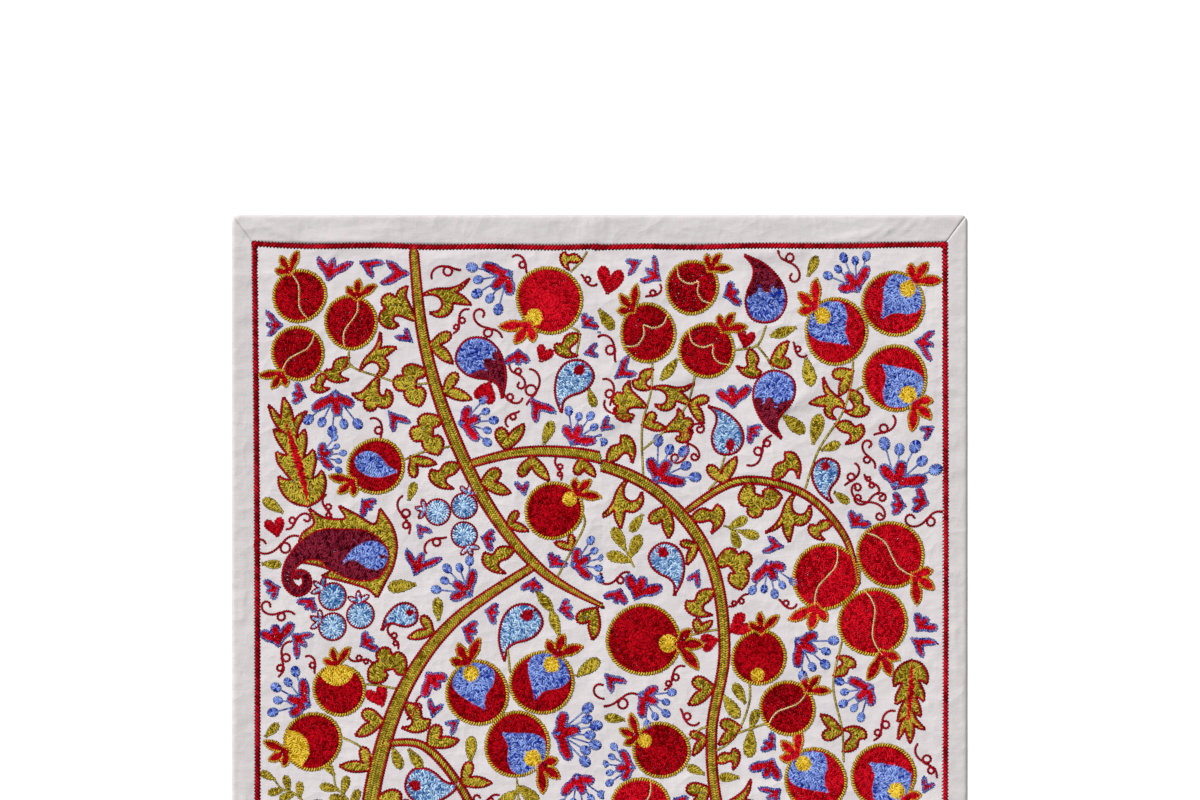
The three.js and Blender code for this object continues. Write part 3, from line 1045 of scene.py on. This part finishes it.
def draw_all():
    """Sews the whole drawing, the large motifs first."""
    border()
    room[:] = np.minimum(room, DRAWN_ACROSS - np.abs(room_x)[None, :])
    room[:] = np.minimum(room, DRAWN_ALONG - np.abs(room_y)[:, None])
    room[:] = np.minimum(room, SEAM_ROOM + np.abs(room_x[None, :] - centre_seam(room_y[:, None])))
    lines = [vine(marks, widths) for marks, widths in VINES]
    for x, y, radius, growth, kind, thread in FRUITS:
        fruit(x, y, radius, growth, kind, thread)
    for x, y, growth, size, kind, flip in BOTEHS:
        boteh(x, y, growth, size, kind, flip)
    for x, y, radius, growth in BERRIES:
        berry(x, y, radius, growth)
    sheathed_boteh(-345, 290)
    feather_leaf(-396, 354, 104, 146)
    feather_leaf(424, 154, 268, 108, True)
    stems = [stalk(marks) for marks in STALKS]
    for row in SMALL:
        seat(*row)
    for line, (marks, widths) in zip(lines, VINES):
        leaves_along(line, max(widths) / 2 - 1.5, 34, 30)
    for line in stems:
        leaves_along(line, 0, 26, 12, (0.78, 0.66, 0.56))
    fill_room()


# The cloth's form, in millimetres, as the solids have it
PANEL_THICKNESS = 1.5
EDGING_THICKNESS = 2.0
SEAM_GAP = 0.3
# Sewn tighter than the solids have it
CENTRE_GAP = 0.02
MITRE_GAP = 0.06
CORNER_RADIUS = 9
TOP_EDGING = {"depth": 37, "bow": 5}
SIDE_EDGING = {"depth": 28, "bow": 6}
CENTRE_SEAM = {"x": 6, "drift": 10.5, "drift_at": 700}

# Soft folds: centre, length along the fold, width across it, height, and turn from +x in degrees
FOLDS = [
    # x, y, length, width, height, turn
    (264, 498, 190, 62, 2.6, 34), (178, 646, 170, 56, 2.0, 9), (60, 640, 120, 54, 1.6, 7),
    (118, 534, 130, 54, 1.8, 22), (22, 476, 150, 56, 2.2, 27), (424, 520, 250, 62, 1.7, 88),
    (-330, 716, 190, 46, 1.8, 3), (-200, 688, 160, 50, 1.6, 4), (240, 700, 190, 48, 1.7, 3),
    (350, 716, 140, 46, 1.8, 10), (-14, 716, 110, 52, 2.0, 62), (-18, 322, 120, 60, 1.7, 64),
    (150, 330, 140, 54, 1.6, 18), (-396, 330, 230, 60, 1.4, 92), (330, 262, 150, 56, 1.5, 24),
    (8, 130, 210, 60, 1.6, 88), (-250, -70, 170, 56, 1.6, -16), (240, -160, 180, 58, 1.9, 28),
    (-60, -300, 150, 56, 1.7, -32), (400, -390, 230, 60, 1.5, 86), (-340, -470, 170, 56, 1.8, 20),
    (130, -540, 180, 58, 1.8, -12), (-160, -700, 180, 48, 1.6, -4), (290, -706, 160, 46, 1.6, 5),
]

# Finer creases of the same kind, where the photo shows them
CREASES = [
    # x, y, length, width, height, turn
    (266, 496, 120, 13, 0.9, 34), (244, 478, 90, 11, 0.7, 40), (206, 643, 96, 12, 0.8, -8),
    (84, 648, 50, 10, 0.5, 4), (122, 531, 46, 11, 0.6, 16), (142, 508, 40, 10, 0.5, 24),
    (18, 476, 92, 12, 0.9, 30), (36, 490, 60, 10, 0.6, 34), (452, 520, 200, 12, 0.7, 88),
    (-304, 730, 150, 11, 0.8, 3), (-330, 716, 170, 12, 0.7, 1), (-200, 695, 90, 11, 0.7, 2),
    (238, 698, 120, 10, 0.7, 2), (338, 720, 110, 10, 0.8, 11), (392, 728, 60, 9, 0.8, 34),
    (366, 724, 70, 9, 0.7, 26), (420, 734, 50, 8, 0.7, 40), (-14, 292, 60, 11, 0.6, 70),
    (8, 110, 130, 9, 0.6, 88), (-455, 735, 80, 12, 0.7, 150), (-425, 722, 90, 12, 0.6, 160),
    (-470, 690, 70, 11, 0.5, 100), (-180, 672, 70, 12, 0.4, -12), (330, 470, 70, 12, 0.5, 34),
    (-120, 470, 80, 12, 0.4, 10), (-30, 430, 70, 12, 0.5, 28), (190, 420, 80, 12, 0.5, 26),
    (-250, 470, 80, 13, 0.4, -20), (-440, 480, 100, 13, 0.5, 80), (-300, 300, 80, 13, 0.4, 60),
    (10, 590, 60, 11, 0.5, 84), (4, 380, 70, 10, 0.5, 92), (-484, 250, 240, 11, 0.5, 89),
    (484, 180, 260, 12, 0.5, 91), (-484, -60, 200, 11, 0.5, 90), (230, 300, 90, 13, 0.4, 40),
]


def mounds(table, x, y):
    """The height of rounded folds at each place."""
    lift = np.zeros_like(x)
    for place_x, place_y, length, width, height, turn in table:
        angle = math.radians(turn)
        dx, dy = x - place_x, y - place_y
        along = (dx * math.cos(angle) + dy * math.sin(angle)) / length
        across = (dy * math.cos(angle) - dx * math.sin(angle)) / width
        near = (np.abs(along) < 0.5) & (np.abs(across) < 0.5)
        lift += np.where(near, height * (np.cos(math.pi * along) * np.cos(math.pi * across)) ** 2, 0)
    return lift


PUCKERED = {"across": 465, "along": 700}


def cloth_lift(x, y):
    """How high the cloth's underside lies."""
    ruffle = 0.5 * np.sin(x / 4.2) * np.exp(-(((x + 14) / 34) ** 2)) * np.clip((y - 716) / 20, 0, 1)
    pucker = 0.22 * (np.sin(x / 19 + 0.6 * np.sin(y / 31)) * np.sin(y / 17 + np.sin(x / 23)) + 1)
    sewn_part = (np.abs(x) < PUCKERED["across"]) & (np.abs(y) < PUCKERED["along"])
    return (mounds(FOLDS, x, y) + 1.5 * mounds(CREASES, x, y) + np.abs(ruffle)
            + np.where(sewn_part, pucker, 0.3 * pucker))


def bow(along, side):
    """How much a seam curves out at each place: 1 in the middle, 0 at its ends."""
    return 1 - (2 * along / side) ** 2


def top_seam(x):
    """Where the seam between the panels and the top edging runs; the bottom one mirrors it."""
    return LENGTH / 2 - TOP_EDGING["depth"] - TOP_EDGING["bow"] * bow(x, WIDTH)


def side_seam(y):
    """Where the seam between the right panel and its edging runs; the left one mirrors it."""
    return WIDTH / 2 - SIDE_EDGING["depth"] - SIDE_EDGING["bow"] * bow(y, LENGTH)


def centre_seam(y):
    """Where the seam between the two panels runs, a little bowed."""
    return CENTRE_SEAM["x"] - CENTRE_SEAM["drift"] * (y / CENTRE_SEAM["drift_at"]) ** 2


STEP_WIDTH = 1.5  # over which stitches climb from the panel to the thicker edging


def cloth_face(x, y):
    """How high the cloth's face lies, where the border is sewn over the thicker edging too."""
    past_seam = np.maximum(np.abs(x) - side_seam(y), np.abs(y) - top_seam(x))
    step = np.clip(past_seam / STEP_WIDTH + 0.5, 0, 1)
    return cloth_lift(x, y) + PANEL_THICKNESS + (EDGING_THICKNESS - PANEL_THICKNESS) * step


def added(name, data):
    """An object in the scene for a mesh, a light or a camera."""
    thing = bpy.data.objects.new(name, data)
    bpy.context.collection.objects.link(thing)
    return thing


def slab(name, columns, rows, plan, thickness, press, crisp_edges=False):
    """A closed sheet. The plan gives x and y from shares of its width and length, and press how
    much thinner it is near its edges."""
    bm = bmesh.new()
    bmesh.ops.create_grid(bm, x_segments=columns, y_segments=rows, size=0.5)
    upper = bmesh.ops.extrude_face_region(bm, geom=bm.faces[:])["geom"]
    bmesh.ops.translate(bm, verts=[v for v in upper if isinstance(v, bmesh.types.BMVert)], vec=(0, 0, 1))
    bmesh.ops.recalc_face_normals(bm, faces=bm.faces[:])
    mesh = bpy.data.meshes.new(name)
    bm.to_mesh(mesh)
    bm.free()
    flat = np.empty(len(mesh.vertices) * 3)
    mesh.vertices.foreach_get("co", flat)
    flat = flat.reshape(-1, 3)
    u, v, layer = flat[:, 0] + 0.5, flat[:, 1] + 0.5, flat[:, 2]
    x, y = plan(u, v)
    height = cloth_lift(x, y) + layer * (thickness - press(x, y))
    mesh.vertices.foreach_set("co", (np.column_stack([x, y, height]) * MM).ravel())
    mesh.shade_smooth()
    if crisp_edges:
        mesh.set_sharp_from_angle(angle=math.radians(50))
    mesh.update()
    return added(name, mesh)


SEAM_PRESS = {"reach": 5, "depth": 0.2}
EDGE_PRESS = {"reach": 5, "depth": 1.1}
HEM_PRESS = {"reach": 4, "depth": 0.2}
MITRE_PRESS = {"reach": 4, "depth": 0.07}
PANEL_GRID = {"columns": 80, "rows": 236}
STRIP_GRID = {"step": 4, "rows": 9}
DIAGONAL = 1.4


def pressed_near(distance, reach, depth):
    """How much thinner the cloth is pressed beside a seam or an edge."""
    return depth * np.clip(1 - distance / reach, 0, 1) ** 2


def panel(side):
    """One ground panel, from the centre seam to the edging."""
    def plan(u, v):
        outer, inner = side * side_seam(0), centre_seam(0)
        nominal = outer + (inner - outer) * (u if side < 0 else 1 - u)
        edge = top_seam(nominal) - SEAM_GAP / 2
        y = edge * (2 * v - 1)
        outer_x = side * (side_seam(y) - SEAM_GAP / 2)
        inner_x = centre_seam(y) + side * CENTRE_GAP / 2
        left, right = (outer_x, inner_x) if side < 0 else (inner_x, outer_x)
        return left + (right - left) * u, y

    def press(x, y):
        return (pressed_near(np.abs(x - centre_seam(y)), **SEAM_PRESS)
                + pressed_near(top_seam(x) - np.abs(y), **SEAM_PRESS)
                + pressed_near(side_seam(y) - np.abs(x), **SEAM_PRESS))

    name = "left_ground" if side < 0 else "right_ground"
    return slab(name, PANEL_GRID["columns"], PANEL_GRID["rows"], plan, PANEL_THICKNESS, press,
                crisp_edges=True)


def edging(name, reach, side, seam, quarter_turns):
    """One strip, worked out as the top one and then turned to its own side."""
    straight = side / 2 - CORNER_RADIUS

    def plan(u, v):
        corner = math.pi / 4 * CORNER_RADIUS
        run = (2 * straight + 2 * corner) * u - corner
        left, right = run < 0, run > 2 * straight
        turn = np.where(left, -run, np.where(right, run - 2 * straight, 0)) / CORNER_RADIUS
        reach_x = np.where(left, -straight, np.where(right, straight, run - straight))
        outer_x = reach_x + np.where(left, -1, 1) * CORNER_RADIUS * np.sin(turn)
        outer_y = reach - CORNER_RADIUS * (1 - np.cos(turn))
        inner_x, inner_y = seam(2 * u - 1)
        x = inner_x + (outer_x - inner_x) * v
        y = inner_y + (outer_y - inner_y) * v
        for _ in range(quarter_turns):
            x, y = -y, x
        return x, y

    def press(x, y):
        for _ in range(quarter_turns):
            x, y = y, -x
        mitre = np.abs((reach - y) - (side / 2 - np.abs(x))) / DIAGONAL
        return (pressed_near(reach - y, **EDGE_PRESS) + pressed_near(y - seam_line(x), **HEM_PRESS)
                + pressed_near(mitre, **MITRE_PRESS))

    def seam_line(x):
        return seam(x / (side / 2))[1]

    columns = round(side / STRIP_GRID["step"])
    return slab(name, columns, STRIP_GRID["rows"], plan, EDGING_THICKNESS, press)


def top_inner(share):
    """The top strip's inner edge, with share from -1 to 1 along it."""
    y = top_seam(WIDTH / 2)
    x = share * (side_seam(y) + SEAM_GAP / 2 - MITRE_GAP)
    return x, top_seam(x) + SEAM_GAP / 2


def side_inner(share):
    """A side strip's inner edge, laid out as the top one is."""
    y = share * (top_seam(WIDTH / 2) + SEAM_GAP / 2 - MITRE_GAP)
    return y, side_seam(y) + SEAM_GAP / 2


# Stitches


def loaf():
    """One stitch: a low loaf on a flat foot, of unit size."""
    bm = bmesh.new()
    bmesh.ops.create_cube(bm, size=1.0)
    for side in (-1, 1):
        top = [v for v in bm.verts if v.co.z > 0 and v.co.x * side > 0]
        bmesh.ops.pointmerge(bm, verts=top, merge_co=(side * 0.3, 0, 0.5))
    bmesh.ops.translate(bm, verts=bm.verts[:], vec=(0, 0, 0.5))
    bmesh.ops.triangulate(bm, faces=bm.faces[:])
    bmesh.ops.recalc_face_normals(bm, faces=bm.faces[:])
    bm.verts.index_update()
    points = np.array([v.co[:] for v in bm.verts])
    faces = np.array([[v.index for v in face.verts] for face in bm.faces])
    bm.free()
    return points, faces


STITCH_HEIGHT = 0.95
STITCH_SUNK = 0.12
STITCH_POINTS, STITCH_FACES = loaf()
SEAM_SLIP = 8.5  # the right panel's drawing sits this much lower than the left one's
BORDER_SLIP = 1.4  # and its border this much
BORDER_AT = 706
SLIP_EASES = 130  # over this length near the border
SEAM_CLEAR = 0.7  # how far from the centre seam the middle of a stitch stays
BORDER_CLEAR = -0.9  # border stitches close the seam


def slip(y):
    """How much lower the right panel's drawing lies."""
    return BORDER_SLIP + SEAM_SLIP * np.clip((BORDER_AT - np.abs(y)) / SLIP_EASES, 0, 1) ** 0.7


def cut_off_bits(points, from_seam, strip=16, touch=6, least=7):
    """Which stitches belong to the few that the centre seam would cut off from their motif."""
    bits = np.zeros(len(points), bool)
    near = np.flatnonzero(from_seam < strip)
    touching = np.hypot(*(points[near][:, None] - points[near]).transpose(2, 0, 1)) < touch
    group = np.arange(len(near))
    while True:
        lowest = np.where(touching, group, len(near)).min(axis=1)
        if (lowest == group).all():
            break
        group = lowest
    for one in np.unique(group):
        members = near[group == one]
        if len(members) < least and from_seam[members].max() < strip - touch:
            bits[members] = True
    return bits


def stitched(name, rows):
    """One piece with all stitches of a thread on a panel."""
    x, y, heading, length, width, tone_and_sheen, rise = (column[:, None] for column in rows.T)
    along, across, up = STITCH_POINTS.T
    dx = along * length * np.cos(heading) - across * width * np.sin(heading)
    dy = along * length * np.sin(heading) + across * width * np.cos(heading)
    px, py = x + dx, y + dy
    pz = cloth_face(px, py) - STITCH_SUNK + up * rise * STITCH_HEIGHT
    points = np.stack([px, py, pz], axis=-1).reshape(-1, 3) * MM
    first = np.arange(len(rows))[:, None, None] * len(STITCH_POINTS)
    faces = (first + STITCH_FACES).reshape(-1, 3)
    strand = np.stack([along * length, across * width, np.broadcast_to(up, px.shape)], axis=-1)
    mesh = bpy.data.meshes.new(name)
    mesh.from_pydata(points.tolist(), [], faces.tolist())
    tone_and_sheen_layer = mesh.attributes.new("tone_and_sheen", "FLOAT", "POINT")
    tone_and_sheen_layer.data.foreach_set("value", np.broadcast_to(tone_and_sheen, px.shape).ravel())
    strand_of = mesh.attributes.new("strand", "FLOAT_VECTOR", "POINT")
    strand_of.data.foreach_set("vector", strand.ravel())
    mesh.shade_smooth()
    mesh.update()
    return added(name, mesh)


# Materials


def srgb(*color):
    """A colour given in 0 to 255 steps."""
    return tuple((c / 255 / 12.92 if c <= 10 else ((c / 255 + 0.055) / 1.055) ** 2.4) for c in color) + (1.0,)


def add(tree, kind, **values):
    """A new node with its settings."""
    node = tree.nodes.new(kind)
    for name, value in values.items():
        setattr(node, name, value)
    return node


def link(tree, source, target):
    tree.links.new(source, target)


MIX_FIRST, MIX_SECOND, MIX_OUT = 6, 7, 2  # the colour sockets of a mix node


def mix_colors(tree, share, first, second):
    """One colour blended into another by a share."""
    node = add(tree, "ShaderNodeMix", data_type="RGBA")
    link(tree, share, node.inputs["Factor"])
    link(tree, first, node.inputs[MIX_FIRST])
    link(tree, second, node.inputs[MIX_SECOND])
    return node.outputs[MIX_OUT]


def ranged(tree, value, limits):
    """A value taken from one range to another."""
    node = add(tree, "ShaderNodeMapRange")
    for name, limit in limits.items():
        node.inputs[name].default_value = limit
    link(tree, value, node.inputs["Value"])
    return node.outputs["Result"]


def look_group(name, colors):
    """A node group that takes colours and gives a look: a colour, a height and a roughness."""
    group = bpy.data.node_groups.new(name, "ShaderNodeTree")
    for color in colors:
        group.interface.new_socket(color, in_out="INPUT", socket_type="NodeSocketColor")
    for result, kind in (("Color", "Color"), ("Height", "Float"), ("Roughness", "Float")):
        group.interface.new_socket(result, in_out="OUTPUT", socket_type="NodeSocket" + kind)
    return group, add(group, "NodeGroupInput").outputs, add(group, "NodeGroupOutput").inputs


def plain_weave():
    """Woven cloth: fine threads with slubs, soft crumples and a little change of colour."""
    group, given, out = look_group("Plain weave", ("Base", "Shade"))
    place = add(group, "ShaderNodeTexCoord")

    def noise(scale, stretch, detail=2.0):
        mapping = add(group, "ShaderNodeMapping")
        mapping.inputs["Scale"].default_value = stretch
        texture = add(group, "ShaderNodeTexNoise")
        texture.inputs["Scale"].default_value = scale
        texture.inputs["Detail"].default_value = detail
        link(group, place.outputs["Object"], mapping.inputs["Vector"])
        link(group, mapping.outputs["Vector"], texture.inputs["Vector"])
        return texture.outputs["Fac"]

    def threads(direction):
        wave = add(group, "ShaderNodeTexWave", bands_direction=direction)
        wave.inputs["Scale"].default_value = 620.0
        wave.inputs["Distortion"].default_value = 1.5
        wave.inputs["Detail Scale"].default_value = 0.4
        link(group, place.outputs["Object"], wave.inputs["Vector"])
        return wave.outputs["Fac"]

    def math_node(operation, a, b):
        node = add(group, "ShaderNodeMath", operation=operation)
        for socket, value in zip(node.inputs, (a, b)):
            if isinstance(value, (int, float)):
                socket.default_value = value
            else:
                link(group, value, socket)
        return node.outputs[0]

    def ridges(scale, stretch):
        centred = math_node("SUBTRACT", noise(scale, stretch, 1.5), 0.5)
        return math_node("ABSOLUTE", centred, 0)

    weft_slub = noise(60, (0.7, 22, 1), 3)
    warp_slub = noise(60, (22, 0.7, 1), 3)
    cloud = noise(7, (1, 1, 1), 3)
    slubs = math_node("ADD", math_node("MULTIPLY", weft_slub, 0.6), math_node("MULTIPLY", warp_slub, 0.4))
    weave = math_node("MAXIMUM", threads("X"), threads("Y"))
    # heights in millimetres
    height = math_node("ADD", math_node("MULTIPLY", weave, 0.06), math_node("MULTIPLY", slubs, 0.3))
    for relief in (math_node("MULTIPLY", ridges(15, (1, 1.5, 1)), -4.5),
                   math_node("MULTIPLY", ridges(34, (1.3, 0.8, 1)), -1.6),
                   math_node("MULTIPLY", noise(48, (1, 1.4, 1), 3), 1.2)):
        height = math_node("ADD", height, relief)
    mixed = math_node("ADD", math_node("MULTIPLY", slubs, 0.55), math_node("MULTIPLY", cloud, 0.45))
    spread = ranged(group, mixed, {"From Min": 0.36, "From Max": 0.66})
    link(group, mix_colors(group, spread, given["Shade"], given["Base"]), out["Color"])
    link(group, height, out["Height"])
    link(group, math_node("ADD", math_node("MULTIPLY", slubs, -0.25), 0.86), out["Roughness"])
    return group


def silk_strand():
    """Loose silk: painted shade where a stitch goes down into the cloth between its neighbours, and its body
    colour along its crown, paler and with painted sheen where its tone is high.
    """
    group, given, out = look_group("Silk strand", ("Painted_shade", "Body", "Light"))
    tone_and_sheen = add(group, "ShaderNodeAttribute", attribute_name="tone_and_sheen").outputs["Fac"]
    strand = add(group, "ShaderNodeAttribute", attribute_name="strand")
    split_strand = add(group, "ShaderNodeSeparateXYZ")
    link(group, strand.outputs["Vector"], split_strand.inputs[0])
    twist = add(group, "ShaderNodeTexWave", bands_direction="DIAGONAL")
    twist.inputs["Scale"].default_value = 0.55
    twist.inputs["Distortion"].default_value = 0.8
    link(group, strand.outputs["Vector"], twist.inputs["Vector"])
    # The low part of each stitch takes the painted shade colour, for the shade between stitches
    above_painted_shade = ranged(group, split_strand.outputs["Z"], {"From Min": 0.34, "From Max": 0.7})
    # Stitches with a high tone take the pale colour, which is partly paler thread and partly painted sheen
    body = mix_colors(group, tone_and_sheen, given["Body"], given["Light"])
    link(group, mix_colors(group, above_painted_shade, given["Painted_shade"], body), out["Color"])
    link(group, twist.outputs["Fac"], out["Height"])
    link(group, ranged(group, tone_and_sheen, {"To Min": 0.62, "To Max": 0.42}), out["Roughness"])
    return group


def material_from(name, group, colors, bump, specular):
    """A material with its colour, relief and roughness from a group."""
    material = bpy.data.materials.new(name)
    material.use_nodes = True
    tree = material.node_tree
    shader = tree.nodes["Principled BSDF"]
    look = add(tree, "ShaderNodeGroup", node_tree=group)
    for socket, color in colors.items():
        look.inputs[socket].default_value = color
    relief = add(tree, "ShaderNodeBump")
    relief.inputs["Strength"].default_value = bump["strength"]
    relief.inputs["Distance"].default_value = bump["distance"]
    link(tree, look.outputs["Color"], shader.inputs["Base Color"])
    link(tree, look.outputs["Roughness"], shader.inputs["Roughness"])
    link(tree, look.outputs["Height"], relief.inputs["Height"])
    link(tree, relief.outputs["Normal"], shader.inputs["Normal"])
    shader.inputs["Specular IOR Level"].default_value = specular
    return material


# Thread colours: the painted shade down between stitches, its body, and its lightest, which is partly paler
# thread and partly painted sheen
THREADS = {
    "red": (srgb(50, 0, 2), srgb(142, 0, 8), srgb(218, 18, 38)),
    "crimson": (srgb(30, 0, 0), srgb(112, 0, 4), srgb(190, 8, 26)),
    "wine": (srgb(18, 0, 2), srgb(62, 0, 12), srgb(142, 36, 58)),
    "olive": (srgb(30, 20, 0), srgb(110, 88, 8), srgb(206, 182, 64)),
    "yellow": (srgb(84, 54, 0), srgb(184, 142, 6), srgb(246, 210, 76)),
    "blue": (srgb(4, 8, 84), srgb(26, 46, 148), srgb(150, 176, 240)),
    "light_blue": (srgb(14, 48, 112), srgb(56, 104, 164), srgb(196, 226, 248)),
    "dark_red": (srgb(50, 0, 2), srgb(122, 0, 8), srgb(182, 14, 34)),
    "cream": (srgb(120, 74, 18), srgb(222, 168, 84), srgb(255, 222, 146)),
    "stalk": (srgb(60, 46, 2), srgb(128, 108, 20), srgb(206, 186, 74)),
    "border": (srgb(56, 0, 4), srgb(138, 0, 12), srgb(208, 16, 36)),
}

weave_group = plain_weave()
strand_group = silk_strand()
CLOTH_RELIEF = {"strength": 1.0, "distance": 0.001}
CLOTH_GLOSS = 0.1
GROUND_COLORS = {"Base": srgb(220, 214, 215), "Shade": srgb(205, 198, 200)}
EDGING_COLORS = {"Base": srgb(211, 206, 206), "Shade": srgb(196, 190, 191)}
ground_cloth = material_from("ground cloth", weave_group, GROUND_COLORS, CLOTH_RELIEF, CLOTH_GLOSS)
edging_cloth = material_from("edging cloth", weave_group, EDGING_COLORS, CLOTH_RELIEF, CLOTH_GLOSS)
STRAND_RELIEF = {"strength": 0.35, "distance": 0.0002}
STRAND_GLOSS = 0.015
thread_materials = {
    thread: material_from("silk " + thread, strand_group, dict(zip(("Painted_shade", "Body", "Light"), colors)),
                          STRAND_RELIEF, STRAND_GLOSS)
    for thread, colors in THREADS.items()
}

# Camera: straight above the visible part of the cloth
camera_data = bpy.data.cameras.new("camera")
camera_data.lens = 80
camera_data.sensor_width = 36
camera = added("camera", camera_data)
FRAME_WIDTH = 1.6327
camera.location = (0.0007, 0.4983, FRAME_WIDTH * camera_data.lens / camera_data.sensor_width)
bpy.context.scene.camera = camera

# The pieces
draw_all()
left_ground, right_ground = panel(-1), panel(1)
edgings = {
    "edging_top": edging("top_hem", LENGTH / 2, WIDTH, top_inner, 0),
    "edging_left": edging("left_hem", WIDTH / 2, LENGTH, side_inner, 1),
    "edging_bottom": edging("bottom_hem", LENGTH / 2, WIDTH, top_inner, 2),
    "edging_right": edging("right_hem", WIDTH / 2, LENGTH, side_inner, 3),
}

stitches = np.concatenate([rows for thread in THREADS for rows in sewn[thread]])
thread_of = np.concatenate([np.full(len(rows), thread) for thread in THREADS for rows in sewn[thread]])
clear = np.where(thread_of == "border", BORDER_CLEAR, SEAM_CLEAR)
embroidery = {"left": [], "right": []}
for side, way in (("left", -1), ("right", 1)):
    from_seam = (stitches[:, 0] - centre_seam(stitches[:, 1])) * way
    here = from_seam > clear
    here[here] = ~cut_off_bits(stitches[here, :2], from_seam[here])
    for thread in THREADS:
        rows = stitches[here & (thread_of == thread)]
        if side == "right":
            rows[:, 1] -= slip(rows[:, 1])
        if len(rows):
            piece = stitched(f"{thread}_stitches_{side}", rows)
            piece.data.materials.append(thread_materials[thread])
            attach(piece, "root")
            embroidery[side].append(piece)

for ground, side in ((left_ground, "left"), (right_ground, "right")):
    ground.data.materials.append(ground_cloth)
    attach(ground, "root")
    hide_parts("panel_" + side)
for node, hem in edgings.items():
    hem.data.materials.append(edging_cloth)
    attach(hem, "root")
    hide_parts(node)

# Floor and light
bm = bmesh.new()
bmesh.ops.create_grid(bm, x_segments=1, y_segments=1, size=6)
floor_mesh = bpy.data.meshes.new("floor")
bm.to_mesh(floor_mesh)
bm.free()
floor = added("floor", floor_mesh)
paper = bpy.data.materials.new("floor paper")
paper.use_nodes = True
paper.node_tree.nodes["Principled BSDF"].inputs["Base Color"].default_value = (0.93, 0.93, 0.93, 1)
paper.node_tree.nodes["Principled BSDF"].inputs["Roughness"].default_value = 0.9
paper.node_tree.nodes["Principled BSDF"].inputs["Specular IOR Level"].default_value = 0.0
floor_mesh.materials.append(paper)


def soft_sun(name, way, spread, strength):
    """Even light from one side, softened by the spread of its directions."""
    data = bpy.data.lights.new(name, "SUN")
    data.angle = math.radians(spread)
    data.energy = strength
    light = added(name, data)
    tip = math.acos(-way[2] / np.linalg.norm(way))
    light.rotation_euler = (tip, 0, math.atan2(way[1], way[0]) - math.pi / 2)


soft_sun("key", (0.6, -0.62, -0.5), 18, 4.2)
soft_sun("fill", (-0.5, 0.25, -0.85), 50, 0.35)
world = bpy.data.worlds.new("studio")
world.use_nodes = True
world.node_tree.nodes["Background"].inputs["Color"].default_value = (1, 1, 1, 1)
world.node_tree.nodes["Background"].inputs["Strength"].default_value = 0.36
bpy.context.scene.world = world
bpy.context.scene.view_settings.view_transform = "Standard"
